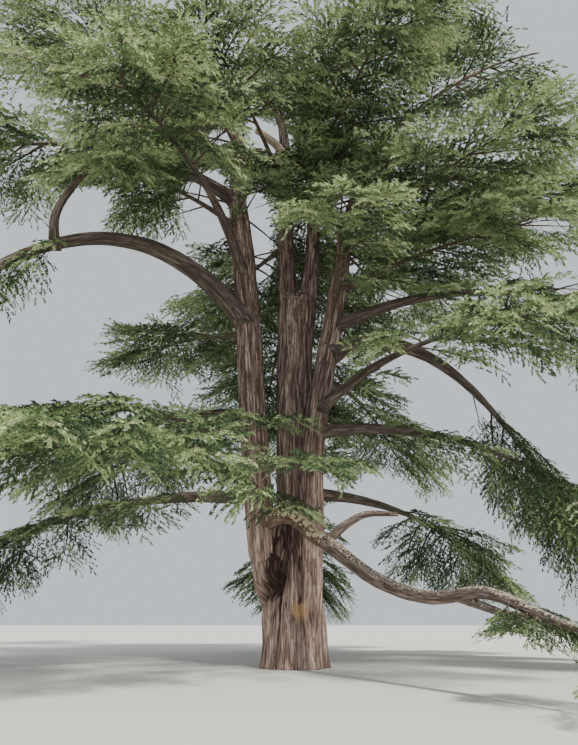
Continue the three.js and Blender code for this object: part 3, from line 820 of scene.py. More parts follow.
@dataclass(frozen=True)
class BarkRelief:
    """The relief of bark, laid over a limb's mesh by Geometry Nodes."""

    furrow_spacing: float = 0.13
    furrow_depth: float = 0.022
    furrow_share: float = 0.32
    swell_size: float = 0.4
    swell_depth: float = 0.1
    wander: float = 0.16
    wander_scale: float = 2.2
    stretch: float = 0.08
    full_girth: float = 0.4
    least_spacing: float = 0.45
    least_swell: float = 0.4
    seed: float = 3.0

    def tree(self) -> bpy.types.NodeTree:
        """Builds the tree that pushes the surface in along its furrows.

        Returns:
            The node group, with inputs for its material and its sizes.
        """
        sizes = dict.fromkeys(("Furrow spacing", "Furrow depth", "Swell size", "Swell depth"), "Float")
        made, given = geometry_group("bark relief", {**sizes, "Bark": "Material"})
        place = made.stored("bark_place", "FLOAT_VECTOR")
        bent = made.vector("MULTIPLY_ADD", made.noise(place, self.wander_scale, 1.0, "Color", W=self.seed),
                           (self.wander,) * 3, place)
        edges, _ = made.cells(bent, made.math("DIVIDE", 1.0, given["Furrow spacing"]))
        furrow = made.ranged(edges, 0.0, self.furrow_share, 1.0, 0.0, interpolation_type="SMOOTHSTEP")
        swell = made.noise(place, made.math("DIVIDE", 1.0, given["Swell size"]), 3.0, W=self.seed)
        rise = made.math("MULTIPLY", made.math("SUBTRACT", swell, 0.5), given["Swell depth"])
        cut = made.math("MULTIPLY", furrow, given["Furrow depth"])
        push = made.math("MULTIPLY", made.math("SUBTRACT", rise, cut), made.stored("girth"))
        offset = made.out("ShaderNodeVectorMath", {0: made.out("GeometryNodeInputNormal"), "Scale": push},
                          operation="SCALE")
        marked = made.out("GeometryNodeStoreNamedAttribute", {
            "Geometry": given["Geometry"], "Name": "furrow", "Value": furrow}, data_type="FLOAT", domain="POINT")
        made.close(made.out("GeometryNodeSetPosition", {"Geometry": marked, "Offset": offset}), given["Bark"])
        return made.tree

    def lay(self, made: bpy.types.Object, group: bpy.types.NodeTree, bark: bpy.types.Material,
            girth: float) -> bpy.types.Object:
        """Lays the relief over one limb.

        Args:
            made: the limb's smooth mesh.
            group: the relief's tree.
            bark: the finish.
            girth: the limb's radius, to which thin limbs' relief is held.

        Returns:
            The limb with its relief applied.
        """
        share = min(1.0, girth / self.full_girth)
        return run_group(made, group, {
            "Furrow spacing": self.furrow_spacing * max(self.least_spacing, share),
            "Furrow depth": self.furrow_depth, "Swell depth": self.swell_depth,
            "Swell size": self.swell_size * max(self.least_swell, share), "Bark": bark})


@dataclass(frozen=True)
class Groove:
    """A groove that runs up the trunk: its angle at the foot and at the fork, in degrees, its depth in metres
    and half width in degrees, the heights between which it shows, and how far it fades below and above its
    start and to either side of its end. A negative depth is a swelling.
    """

    foot_angle: float
    fork_angle: float
    depth: float
    half_width: float
    heights: Pair
    fade: tuple[float, float, float] = (0.5, 0.3, 0.4)

    def depth_at(self, angles: Array, height: float, fork: float) -> Array:
        """How deep the groove cuts at one height.

        Args:
            angles: where round the trunk, in radians.
            height: how high up.
            fork: the fork's height.

        Returns:
            The depth at each angle.
        """
        low, high = self.heights
        middle = math.radians(self.foot_angle + (self.fork_angle - self.foot_angle) * height / fork)
        away = np.degrees(np.angle(np.exp(1j * (angles - middle)))) / self.half_width
        below, above, ending = self.fade
        shown = smooth(low - below, low + above, height) * (1 - smooth(high - ending, high + ending, height))
        return self.depth * np.exp(-away ** 2) * float(shown)


# The trunk's front, from the photograph: the slanting groove under the left stem's column, the upright
# ones beside it, the column's own swelling, and a like set round the back.
GROOVES: tuple[Groove, ...] = (
    Groove(226, 241, 0.08, 8, (2.9, 5.5)), Groove(119, 293, 0.42, 12, (1.5, 3)),
    Groove(276, 274, -0.32, 17, (2.4, 5)), Groove(262, 259, -0.06, 4, (2.6, 4.6)),
    Groove(236, 238, 0.17, 3, (-1, 2.6)), Groove(251, 250, 0.07, 3, (-1, 2.2)),
    Groove(267, 270, 0.08, 3, (-1, 1.5)), Groove(286, 280, 0.1, 3, (0.6, 3.6)),
    Groove(302, 296, 0.15, 4, (0.3, 5.5)),
    Groove(318, 316, 0.06, 4, (-1, 3)), Groove(340, 342, 0.12, 6, (-1, 3.5)),
    Groove(12, 20, 0.16, 8, (0.2, 5.5)), Groove(40, 44, 0.08, 5, (-1, 2.8)),
    Groove(75, 70, 0.12, 6, (-1, 4)), Groove(112, 118, 0.15, 7, (0.4, 5.5)),
    Groove(136, 134, 0.07, 5, (-1, 2.6)), Groove(190, 196, 0.09, 5, (-1, 2.2)),
)


@dataclass
class Wood:
    """The trunk, the stems, the boughs and the low limb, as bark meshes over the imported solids."""

    fork_height: float = 4.6
    foot_radius: float = 1.1
    flare: float = 0.1
    flare_height: float = 0.45
    buttress: float = 0.045
    buttresses: int = 7
    buttress_turn: float = 40.0
    lobes_from: float = 0.6
    lobe: float = 1.06
    groove: float = 0.5
    crotch_height: float = 5.5
    crotch_from: float = 0.3
    crotch_draw: float = 0.55
    waist_from: float = 2.2
    waist_draw: float = 0.1
    blur: int = 4
    trunk_sides: int = 230
    trunk_rings: int = 130
    recess_reach: tuple[int, ...] = tuple(range(-24, 25, 3))
    plain_radius: float = 1.15
    recess_depth: Pair = (0.1, 0.42)
    crown_of_centre: float = 0.9
    prong_collar: float = 0.35
    collar_length: float = 1.5
    sunk_length: float = 1.6
    twig_end: float = 0.03
    stem_taper: float = 0.6
    seated: float = 0.25
    bough_collar: float = 0.45
    shoot_collar: float = 0.3
    relief: BarkRelief = field(default_factory=BarkRelief)
    limbs: dict[str, Limb] = field(default_factory=dict)

    def __post_init__(self) -> None:
        """Lays out every limb's centreline from the tables."""
        for name, (buried, route, base, tip, taper) in STEMS.items():
            whole = Curve.through([*buried, *route])
            x, y, foot = route[0]
            self.limbs[name] = Limb(name, Curve.through([(x, y, foot - self.seated), *route]), base, tip, taper)
            collar = self.prong_collar if name.endswith("prong") else 0.0
            self.limbs[name + "_whole"] = Limb(name, whole, base, tip, taper, collar, self.collar_length)
        for name, (parent, height, azimuth, reach, lift, sag, base, tip, _) in BOUGHS.items():
            stem = self.limbs[parent].curve
            start = stem.at(stem.share_at_height(height))
            run = heading(azimuth, lift) / math.cos(math.radians(lift)) * reach
            self.limbs[name] = Limb(name, Curve.sagging(start, run, sag, samples=80), base, tip, 1.0,
                                    self.bough_collar)
        for name, (route, base, tip) in SHOOTS.items():
            self.limbs[name] = Limb(name, Curve.through(route), base, tip, 1.0, self.shoot_collar)
        for name, (route, base, tip, taper) in LOW_LIMB.items():
            self.limbs[name] = Limb(name, Curve.through(route), base, tip, taper)

    def tip_stem(self, name: str) -> Limb:
        """The stem of the mass on a limb's tip, which carries the limb on at its own girth.

        Args:
            name: the limb's name.

        Returns:
            The stem.
        """
        limb = self.limbs[name]
        length, _, droop = TIP_TIERS[name] if name in TIP_TIERS else BOUGHS[name][-1]
        curve = Curve.sagging(limb.curve.at(1), limb.curve.ahead(1) * length, droop, samples=40)
        base = float(limb.radius(1))
        return Limb(name + "_foliage", curve, base, self.twig_end / base, self.stem_taper)

    def with_tip(self, limb: Limb, name: str) -> Limb:
        """The limb with the stem on its tip, or the limb itself where it has none."""
        return CarriedLimb.joining(limb, self.tip_stem(name)) if name in TIP_TIERS or name in BOUGHS else limb

    def section(self, angles: Array, height: float) -> Array:
        """The trunk's radius all round at one height.

        Args:
            angles: where round the trunk, in radians.
            height: how high up.

        Returns:
            The radius at each angle.
        """
        wave = np.cos(self.buttresses * angles + math.radians(self.buttress_turn))
        foot = self.foot_radius * (1 + self.buttress * wave) + self.flare * math.exp(-height / self.flare_height)
        reach = np.full(len(angles), self.groove)
        for name in LOBES:
            _, route, base, _, _ = STEMS[name]
            x, y, _ = route[0]
            along = x * np.cos(angles) + y * np.sin(angles)
            across = y * np.cos(angles) - x * np.sin(angles)
            round_off = np.sqrt(np.maximum((base * self.lobe) ** 2 - across ** 2, 0))
            reach = np.where(round_off > 0, np.maximum(reach, along + round_off), reach)
        reach = np.mean([np.roll(reach, k) for k in range(-self.blur, self.blur + 1)], axis=0)
        share = float(smooth(self.lobes_from, self.fork_height, height))
        within = 1 - self.waist_draw * float(smooth(self.waist_from, self.fork_height, height))
        crotch = 1 - self.crotch_draw * float(smooth(self.fork_height - self.crotch_from, self.crotch_height, height))
        cut = sum(groove.depth_at(angles, height, self.fork_height) for groove in GROOVES)
        return (foot * (1 - share) + reach * share - cut) * within * crotch

    def trunk_mesh(self) -> bpy.types.Object:
        """The trunk, from its flat foot to the crotch between the stems.

        Returns:
            The smooth mesh, before its relief.
        """
        angles = np.arange(self.trunk_sides) * TAU / self.trunk_sides
        heights = np.linspace(0, self.crotch_height, self.trunk_rings)
        radii = [self.section(angles, height) for height in heights]
        rings = [np.column_stack([radius * np.cos(angles), radius * np.sin(angles), np.full(len(angles), height)])
                 for radius, height in zip(radii, heights)]
        corners = np.vstack([*rings, [[0, 0, 0], [0, 0, self.crotch_height]]])
        made = mesh_object("trunk_bark", corners, ring_faces(len(heights), len(angles)),
                           end_faces(len(heights), len(angles)))
        round_it = np.tile(np.column_stack([np.cos(angles), np.sin(angles)]) * self.plain_radius, (len(heights), 1))
        place = np.column_stack([np.vstack([round_it, np.zeros((2, 2))]), corners[:, 2] * self.relief.stretch])
        store(made, "bark_place", place)
        store(made, "girth", np.ones(len(corners)))
        # The recess attribute: how far each corner lies sunk below the trunk's surface round it, for shade painted
        # into the bark's hollows.
        behind = [np.max([np.roll(radius, k) for k in self.recess_reach], axis=0) - radius for radius in radii]
        store(made, "recess", smooth(*self.recess_depth, np.concatenate([*behind, [0, 0]])))
        return made

    def limb_mesh(self, limb: Limb, spacing: float, name: str, rounded: float = 0.0,
                  sunk: float = 0.0) -> bpy.types.Object:
        """A limb's smooth tube, closed at both ends.

        Args:
            limb: the limb.
            spacing: how far apart its corners lie round it.
            name: the object's name.
            rounded: the length at its end over which it rounds off.
            sunk: the length at its foot over which it comes out of its parent.

        Returns:
            The mesh, before its relief.
        """
        girth = float(limb.radius(0.2))
        sides = max(9, round(TAU * girth / spacing))
        rings = max(8, round(limb.curve.length / (2 * spacing)))
        shares = np.linspace(0, 1, rings)
        radii = limb.radius(shares)
        for length, along in ((rounded, 1 - shares), (sunk, shares)):
            if length:
                left = np.minimum(along * limb.curve.length / length, 1)
                radii = radii * np.sqrt(np.maximum(1 - (1 - left) ** 2, 0.01))
        corners, places = rings_along(limb.curve, radii, shares, sides)
        corners = np.vstack([corners, limb.curve.at(0.0), limb.curve.at(1.0)])
        places = np.vstack([places, (0, 0, 0), (0, 0, limb.curve.length)])
        made = mesh_object(name, corners, ring_faces(len(shares), sides), end_faces(len(shares), sides))
        places[:, 2] = places[:, 2] * self.relief.stretch + sum(map(ord, limb.name)) % 17
        store(made, "bark_place", places)
        girths = np.append(np.repeat(radii, sides), [radii[0], radii[-1]]) / self.relief.full_girth
        store(made, "girth", np.minimum(girths, 1))
        return made

    def build(self) -> None:
        """Builds every limb, lays the bark's relief over it, and puts it on its body."""
        relief = self.relief.tree()
        finishes = {name: bark.material() for name, bark in BARKS.items()}
        trunk = self.relief.lay(self.trunk_mesh(), relief, finishes["furrowed"], 1.0)
        for corner in trunk.data.vertices:
            corner.co.z = max(corner.co.z, 0.0)
        seat(trunk, "bark", "trunk")
        for name, bark, *nodes in self.pieces():
            limb = self.with_tip(self.limbs.get(name + "_whole") or self.limbs[name], name)
            rounded = self.crown_of_centre if name == "centre_stem" else 0.0
            sunk = self.sunk_length if name == "left_stem" else 0.0
            made = self.limb_mesh(limb, BARKS[bark].mesh_spacing, name + "_bark", rounded, sunk)
            self.relief.lay(made, relief, finishes[bark], limb.base)
            seat(made, "bark" if BARKS[bark].lichen is Moss.BARE else "lichened_bark", *nodes)

    @staticmethod
    def pieces() -> Iterable[tuple[str, ...]]:
        """Lists the limbs that are pieces of their own.

        Yields:
            Each one's name, its bark, and the solids that it stands for.
        """
        for name in STEMS:
            yield name, "furrowed", name
        yield "lopped_stub", "pale", "left_prong"
        for name in (*BOUGHS, "arch_branch"):
            yield (name, "grey", name + "_rise", name + "_fall") if name in ARCHES else (name, "grey", name)
        for name in LOW_LIMB:
            bark = "crusted" if name == "low_elbow" else "lichened"
            yield name, bark, "low_limb" if name == "low_limb_branch" else name


@dataclass(frozen=True)
class PhotoView:
    """The photograph's camera: where it stood, and what it saw in its own pixels."""

    width: int = 578
    height: int = 745
    focal: float = 650.0
    horizon: float = 617.0
    eye: tuple[float, float, float] = (-0.19, -24.0, 1.6)
    sensor: float = 36.0
    sees_to: float = 500.0

    @property
    def tilt(self) -> float:
        """How far the camera looks up, in radians."""
        return math.atan((self.horizon - self.height / 2) / self.focal)

    def pixels(self, points: Array) -> Array:
        """Where points fall in the photograph.

        Args:
            points: one a row.

        Returns:
            Pixels across and down, one pair a row.
        """
        offset = points - np.array(self.eye)
        c, s = math.cos(self.tilt), math.sin(self.tilt)
        depth = np.maximum(offset[:, 1] * c + offset[:, 2] * s, 0.1)
        rise = offset[:, 2] * c - offset[:, 1] * s
        return np.column_stack([self.width / 2 + self.focal * offset[:, 0] / depth,
                                self.height / 2 - self.focal * rise / depth])

    @staticmethod
    def far_from(patch: Point, pixels: Array) -> Array:
        """How far pixels lie from a patch's middle, as the square of a share of its size.

        Args:
            patch: its middle and its half width and half height, in pixels.
            pixels: across and down, one pair a row.

        Returns:
            Less than 1 for each that lies within the patch.
        """
        middle, half_size = np.array(patch[:2]), np.array(patch[2:])
        return (((pixels - middle) / half_size) ** 2).sum(axis=1)

    def camera(self) -> None:
        """Sets up the scene's camera."""
        data = bpy.data.cameras.new("camera")
        data.sensor_width = self.sensor
        data.lens = self.focal / self.height * self.sensor
        data.clip_end = self.sees_to
        made = placed("camera", data)
        made.location = self.eye
        made.rotation_euler = (math.pi / 2 + self.tilt, 0, 0)
        bpy.context.scene.camera = made


# Where the photograph shows the crown open between its sprays: the middle and the half width and half height
# of each open patch, in its pixels. Nothing is grown there.
OPEN_PATCHES: tuple[Point, ...] = (
    (86, 207, 27, 20), (208, 208, 26, 40), (148, 276, 60, 26), (100, 262, 50, 26), (258, 240, 14, 52),
    (270, 138, 20, 15), (256, 128, 8, 9), (220, 138, 12, 8), (352, 265, 8, 10), (395, 300, 14, 9), (455, 395, 40, 30),
    (545, 225, 26, 7), (420, 355, 16, 20), (345, 205, 9, 9), (566, 288, 12, 10), (605, -15, 112, 90),
    (378, 499, 36, 26), (545, 672, 34, 20), (455, 622, 32, 20), (500, 660, 36, 24),
)
# Where it shows the pale stub. No side limb crosses it.
STUB_PATCH = (270, 136, 16, 12)
# Where it shows bare wood, in the same way. Nothing is grown there in front of the stems.
BARE_PATCHES: tuple[Point, ...] = (
    (300, 258, 20, 40), (288, 524, 22, 9), (328, 330, 14, 60), (294, 340, 14, 60), (250, 330, 16, 60),
    (258, 441, 17, 7), (303, 442, 26, 7), (262, 479, 13, 8), (306, 481, 30, 9), (335, 536, 20, 12),
    (295, 392, 40, 14),
)


@dataclass(frozen=True)
class GrowthRule:
    """How a mass of foliage branches, from its stem to its last strands. Lengths are in metres, and angles in
    degrees. A pair gives the limits that chance draws between, or the heights between which something grows.

    A twig's radii are those at its base and tip, a side limb's its least base, what that gains for each metre
    of length, and its tip, and a stem's its share of its parent's, its most, and its tip. The sunlit weights score a
    spray for painted sunlight against painted shade by how far out it stands on its side limb, how far along its tier,
    and chance.
    """

    limb_spacing: float = 0.38
    limb_start: float = 0.08
    limb_margin: float = 0.35
    limb_share: Pair = (0.72, 1.08)
    open_angle: float = 66.0
    tip_angle: float = 36.0
    angle_spread: float = 12.0
    last_limb: float = 0.9
    fall: Pair = (-0.16, 0.18)
    limb_sag: float = 0.13
    limb_bend: Pair = (-0.1, 0.34)
    widest: float = 0.35
    narrows: float = 0.8
    least_width: float = 0.36
    twig_spacing: float = 0.21
    twig_reach: float = 0.45
    twig_least: float = 0.3
    twig_most: float = 1.15
    twig_angle: float = 46.0
    twig_tilt: float = 24.0
    twig_sag: Pair = (0.1, 0.5)
    twig_turn: Pair = (-10, 10)
    twig_vary: Pair = (0.75, 1.2)
    twig_stub: float = 0.1
    twig_radii: Pair = (0.007, 0.004)
    limb_radii: tuple[float, float, float] = (0.012, 0.011, 0.007)
    stem_radii: tuple[float, float, float] = (0.5, 0.15, 0.035)
    strand_spacing: float = 0.178
    limb_strands: float = 0.25
    strand_angle: float = 33.0
    strand_lift: Pair = (-0.22, 0.24)
    strand_length: Pair = (0.4, 0.64)
    strand_first: Pair = (0.3, 0.9)
    strand_turn: Pair = (-9, 9)
    strand_last: float = 0.97
    clearance: float = 0.05
    missing: float = 0.04
    lowest: float = 0.4
    margin: float = 0.66
    reached: float = 0.7
    dressed: float = 0.35
    patch_edge: Pair = (0.7, 1.3)
    behind: float = 0.8
    back_spacing: float = 0.62
    back_spray: float = 3.4
    back_lift: Pair = (-8, 12)
    front_sag: float = 0.02
    low_scale: float = 0.5
    low_heights: Pair = (2.2, 3.8)
    high_gain: float = 0.2
    high_heights: Pair = (11.0, 17.0)
    # Painted shade low down: below these heights sprays score less for painted sunlight.
    shade_heights: Pair = (7.0, 13.0)
    low_shade: float = 0.12
    sunlit_weights: tuple[float, float, float] = (0.5, 0.2, 0.6)
    sunlit_from: float = 0.74
    leaf_from: float = 0.46
    bough_from: float = 0.4
    bough_spacing: float = 0.5
    bough_spray: float = 2.1
    arch_from: float = 0.78
    stem_spray: float = 3.9
    stem_spacing: float = 0.44
    stem_until: float = 0.97
    stem_turn: Pair = (-20, 20)
    stem_lift: Pair = (-4, 22)
    tier_bare: float = 0.22
    spiral: float = 137.5

    def scale_at(self, height: float) -> float:
        """How large shoots grow at a height: finer near the ground, and coarser in the high crown."""
        low = self.low_scale + (1 - self.low_scale) * float(smooth(*self.low_heights, height))
        return low + self.high_gain * float(smooth(*self.high_heights, height))


StrandBatch = tuple[Array, Array, Array, Green]


@dataclass
class Strands:
    """Every strand of needles in the crown, listed by green while it grows."""

    batches: dict[Green, list[StrandBatch]] = field(default_factory=lambda: {green: [] for green in Green})

    def add(self, batch: StrandBatch | None) -> None:
        """Adds the strands of one twig: where each starts, where it points, how long it is, and their green."""
        if batch:
            self.batches[batch[-1]].append(batch)

    def joined(self, green: Green) -> list[Array]:
        """The places, directions and lengths of all the strands of one green."""
        return [np.concatenate(column) for column in list(zip(*self.batches[green]))[:3]]


@dataclass
class Crown:
    """The tiers of foliage, grown from the limbs' tips and the stems' sides."""

    wood: Wood
    view: PhotoView
    rule: GrowthRule = field(default_factory=GrowthRule)
    first_seed: int = 11
    index_spacing: float = 0.15
    stem_rings: int = 14
    stem_sides: int = 8
    limb_sides: int = 5
    twig_sides: int = 3
    stem_fade: float = 2.0
    tip_draw: float = 0.2
    piece_triangles: int = 190000
    chance: Chance = field(init=False)
    strands: Strands = field(default_factory=Strands)
    twigs: list[Twig] = field(default_factory=list)
    stems: list[Limb] = field(default_factory=list)
    nodes: list[str] = field(default_factory=list)

    def tiers(self) -> Iterable[tuple[str, Curve, float, float, float]]:
        """Lays out the masses as the solids are laid out.

        Yields:
            Each mass's node, stem, base radius (none where the wood's mesh carries on as the stem), half
            width, and the share of its stem left bare.
        """
        of_stem, most, _ = self.rule.stem_radii
        tips = {**TIP_TIERS, **{name: row[-1] for name, row in BOUGHS.items()}}
        for name in ("low_limb", *BOUGHS, *(name for name in TIP_TIERS if name in STEMS)):
            yield name + "_foliage", self.wood.tip_stem(name).curve, 0.0, tips[name][1], self.rule.limb_start
        for name, rows in STEM_TIERS.items():
            stem = self.wood.limbs[name]
            for index, (height, azimuth, length, half_width, droop, lift) in enumerate(rows):
                share = stem.curve.share_at_height(height)
                curve = Curve.sagging(stem.curve.at(share), heading(azimuth, lift) * length, droop, samples=40)
                base = min(of_stem * float(stem.radius(share)), most)
                yield f"{name}_tier_{index + 1}", curve, base, half_width, self.rule.tier_bare

    def seeded(self, offset: int, rows: Iterable) -> Iterable:
        """Gives each row in turn, with the chance seeded anew for each.

        Args:
            offset: what the rows' seeds are counted from.
            rows: the rows.

        Yields:
            Each row.
        """
        for index, row in enumerate(rows):
            self.chance = np.random.default_rng(self.first_seed + offset + index)
            yield row

    def draw(self, limits: Pair, count: int | None = None) -> float | Array:
        """A number, or a count of them, drawn evenly between two limits."""
        return self.chance.uniform(*limits, count)

    def grow(self) -> None:
        """Grows every mass and every spray by the rule, each from its own seed."""
        rule, limbs = self.rule, self.wood.limbs
        for node, curve, base, half_width, bare in self.seeded(0, self.tiers()):
            self.nodes.append(node)
            if base > 0:
                self.stems.append(Limb(node, curve, base, rule.stem_radii[-1] / base))
            self.grow_tier(curve, half_width, bare)
        for name in self.seeded(100, BOUGHS):
            first = rule.arch_from if name in ARCHES else rule.bough_from
            self.grow_bough(limbs[name].curve, first, rule.bough_spray, rule.bough_spacing)
        for name, row in self.seeded(300, LOW_SPRAYS.items()):
            self.grow_bough(limbs[name].curve, *row)
        for name, height, azimuth, lift, length in self.seeded(400, FRONT_SPRAYS):
            curve = limbs[name].curve
            start = curve.at(curve.share_at_height(height))
            self.grow_limb(Curve.sagging(start, heading(azimuth, lift) * length, rule.front_sag * length), 0.5)
        for name, height in self.seeded(200, LEAFY_ABOVE.items()):
            self.grow_round(limbs[name].curve, height)
        for name, heights, azimuths in self.seeded(500, BACK_SPRAYS):
            self.grow_behind(limbs[name].curve, heights, azimuths)

    def grow_behind(self, curve: Curve, heights: Pair, azimuths: Pair) -> None:
        """Grows short side limbs up the back of a stem.

        Args:
            curve: the stem's centreline.
            heights: where they begin and end.
            azimuths: the directions between which they stand.
        """
        rule = self.rule
        low, high = heights
        count = round((high - low) / rule.back_spacing)
        for i in range(count):
            start = curve.at(curve.share_at_height(low + (high - low) * i / count))
            azimuth = azimuths[0] + (azimuths[1] - azimuths[0]) * (rule.spiral * i / 360 % 1)
            length = rule.back_spray * self.draw(rule.limb_share)
            run = heading(azimuth, self.draw(rule.back_lift)) * length
            self.grow_limb(Curve.sagging(start, run, rule.limb_sag * length), 0.2)

    def grow_round(self, curve: Curve, height: float) -> None:
        """Grows short side limbs all round the upper part of a stem, in a spiral.

        Args:
            curve: the stem's centreline.
            height: where they begin.
        """
        rule = self.rule
        first = curve.share_at_height(height)
        count = round(curve.length * (1 - first) / rule.stem_spacing)
        for i in range(count):
            start = curve.at(first + (rule.stem_until - first) * i / count)
            out = heading(rule.spiral * i + self.draw(rule.stem_turn), self.draw(rule.stem_lift))
            length = rule.stem_spray * self.draw(rule.limb_share)
            self.grow_limb(Curve.sagging(start, out * length, rule.limb_sag * length), 0.2)

    def grow_bough(self, curve: Curve, first: float, spray: float, spacing: float) -> None:
        """Grows side limbs in turn along the outer part of a bough, longer towards its tip.

        Args:
            curve: the bough's centreline.
            first: the share of its length where they begin.
            spray: how long the longest are.
            spacing: how far apart they stand.
        """
        count = round(curve.length * (1 - first) / spacing)
        for i in range(count):
            along = i / count
            limb = self.side_limb(curve, first + (1 - first) * along, (-1) ** i, self.rule.open_angle,
                                  spray * (0.5 + 0.5 * along))
            self.grow_limb(limb, 0.3)

    def grow_tier(self, curve: Curve, half_width: float, bare: float) -> None:
        """Grows one mass: side limbs in turn along its stem, twigs along them, strands along those.

        Args:
            curve: the mass's stem.
            half_width: how far its longest side limbs reach.
            bare: the share of the stem with no side limbs.
        """
        rule = self.rule
        count = max(4, round(curve.length * (1 - bare) / rule.limb_spacing))
        for i in range(count + 1):
            side = 0 if i == count else (-1) ** i
            if side and self.chance.random() < rule.missing:
                continue
            along = i / count
            open_angle = rule.open_angle + (rule.tip_angle - rule.open_angle) * along
            width = max(rule.least_width, math.sqrt(max(0.0, 1 - ((along - rule.widest) / rule.narrows) ** 2)))
            limb = self.side_limb(curve, bare + (1 - bare) * i / count, side, open_angle,
                                  (half_width - rule.limb_margin) * width)
            self.grow_limb(limb, along)
        self.strands.add(self.dress(curve, rule.limb_strands, Green.LEAF))

    def side_limb(self, curve: Curve, share: float, side: int, open_angle: float, reach: float) -> Curve:
        """Draws one side limb of a bough or a mass.

        Args:
            curve: the centreline that it leaves.
            share: where it leaves it.
            side: 1 for the left, -1 for the right, and 0 for the one that carries on at the tip.
            open_angle: how far it turns away, in degrees.
            reach: how long a middling one is there.

        Returns:
            Its centreline.
        """
        rule = self.rule
        ahead = curve.ahead(min(share, 0.99))
        out = turned(ahead, UP, side * (open_angle + self.draw((-1, 1)) * rule.angle_spread))
        out[2] -= self.draw(rule.fall)
        length = reach * self.draw(rule.limb_share) if side else rule.last_limb
        bend = ahead * self.draw(rule.limb_bend) * length
        return Curve.sagging(curve.at(share), unit(out) * length, rule.limb_sag * length, bend)

    def grow_limb(self, limb: Curve, along: float) -> None:
        """Grows one side limb and its twigs, up to the last twig that finds room for needles.

        Args:
            limb: its centreline.
            along: how far along the mass it stands, from 0 to 1.
        """
        rule = self.rule
        scale = rule.scale_at(float(limb.at(0.5)[2]))
        count = max(2, round(limb.length / (rule.twig_spacing * min(1.0, scale))))
        last, twigs, batches = 0.0, [], []
        for i in range(1, count + 1):
            share = i / count
            side = 0 if i == count else (-1) ** i
            ahead = limb.ahead(share)
            out = turned(ahead, UP, side * (rule.twig_angle + self.draw(rule.twig_turn)))
            out = turned(out, ahead, self.draw((-1, 1)) * rule.twig_tilt)
            reach = rule.twig_reach * (1 - share) * limb.length + rule.twig_least
            length = min(reach, rule.twig_most) * self.draw(rule.twig_vary) + rule.twig_stub
            sag = self.draw(rule.twig_sag) * length * length
            twig = Curve.sagging(limb.at(share), out * length, sag, samples=8)
            batch = self.dress(twig, rule.strand_spacing, self.deal_green(share, along, twig))
            if batch:
                twigs.append((twig.at(np.array([0.0, 0.55, 1.0])), *rule.twig_radii))
                batches.append(batch)
                last = share
        if len(twigs) < rule.dressed * count or self.crosses_stub(limb):
            return
        batches.append(self.dress(limb, rule.limb_strands, self.deal_green(0.3, along, limb)))
        for batch in batches:
            self.strands.add(batch)
        least, gain, tip = rule.limb_radii
        self.twigs += [*twigs, (limb.at(np.linspace(0, last, 6)), least + gain * limb.length, tip)]

    def crosses_stub(self, limb: Curve) -> bool:
        """Whether a side limb passes in front of the pale stub, or behind it, in the photograph's view."""
        pixels = self.view.pixels(limb.at(np.linspace(0, 0.9, 30)))
        return bool((self.view.far_from(STUB_PATCH, pixels) < 1).any())

    def deal_green(self, share: float, along: float, twig: Curve) -> Green:
        """Deals a spray its green: painted sunlight at the rim of a tier and high up, painted shade near its limbs and
        low down.

        Args:
            share: how far out along its side limb the spray stands.
            along: how far along the tier that limb stands.
            twig: the spray's centreline.

        Returns:
            The green.
        """
        rule = self.rule
        # Scores the spray for painted sunlight, and takes some off low down for painted shade.
        out, onward, luck = rule.sunlit_weights
        sunlit_score = out * share + onward * along + luck * self.chance.random()
        sunlit_score -= rule.low_shade * (1 - float(smooth(*rule.shade_heights, float(twig.at(0.5)[2]))))
        if sunlit_score > rule.sunlit_from:
            return Green.SUNLIT
        return Green.LEAF if sunlit_score > rule.leaf_from else Green.SHADED

    def dress(self, twig: Curve, spacing: float, green: Green) -> StrandBatch | None:
        """Sets strands in turn along a twig or limb, and one at its tip.

        Args:
            twig: its centreline.
            spacing: how far apart they stand.
            green: the colour that the spray was dealt.

        Returns:
            The strands, or none where fewer than half of them find room.
        """
        rule = self.rule
        scale = rule.scale_at(float(twig.at(0.5)[2]))
        count = max(1, round(twig.length / (spacing * min(1.0, scale))))
        shares = (np.arange(count) + self.draw(rule.strand_first)) / count
        ahead = twig.ahead(0.5)
        sides = np.append(np.where(np.arange(count) % 2, 1.0, -1.0), 0.0)
        turns = np.radians(sides * rule.strand_angle + self.draw(rule.strand_turn, count + 1))
        across = unit(np.cross(UP, ahead))
        aheads = np.cos(turns)[:, None] * ahead + np.sin(turns)[:, None] * across
        aheads[:, 2] += self.draw(rule.strand_lift, count + 1)
        places = twig.at(np.append(np.minimum(shares, rule.strand_last), 1.0))
        lengths = self.draw(rule.strand_length, count + 1) * scale
        aheads = unit(aheads)
        edges = self.draw(rule.patch_edge, count + 1)
        keep = self.open_places(places, aheads * lengths[:, None], edges)
        return (places[keep], aheads[keep], lengths[keep], green) if keep.sum() * 2 >= len(keep) else None

    def open_places(self, places: Array, runs: Array, edges: Array) -> Array:
        """Which places a strand may stand at.

        Args:
            places: where each strand would start, one a row.
            runs: how far each would run from there.
            edges: how far each heeds the patches, as a share of their size.

        Returns:
            True for each that is above ground, clear of the limbs, and not in a patch that it heeds.
        """
        rule, tips = self.rule, places + runs
        low, high = (np.array(corner) for corner in CAD_BOX)
        keep = np.minimum(places[:, 2], tips[:, 2]) > rule.lowest
        keep &= ((tips > low - rule.margin) & (tips < high + rule.margin)).all(axis=1)
        for pixels in (self.view.pixels(places), self.view.pixels(places + (tips - places) * rule.reached)):
            for patch in OPEN_PATCHES:
                keep &= self.view.far_from(patch, pixels) > edges
            for patch in BARE_PATCHES:
                keep &= (self.view.far_from(patch, pixels) > edges) | (places[:, 1] > rule.behind)
        for i in np.nonzero(keep)[0]:
            _, nearest, distance = self.limb_tree.find(places[i])
            keep[i] = distance > self.limb_radii[nearest] + rule.clearance
        return keep

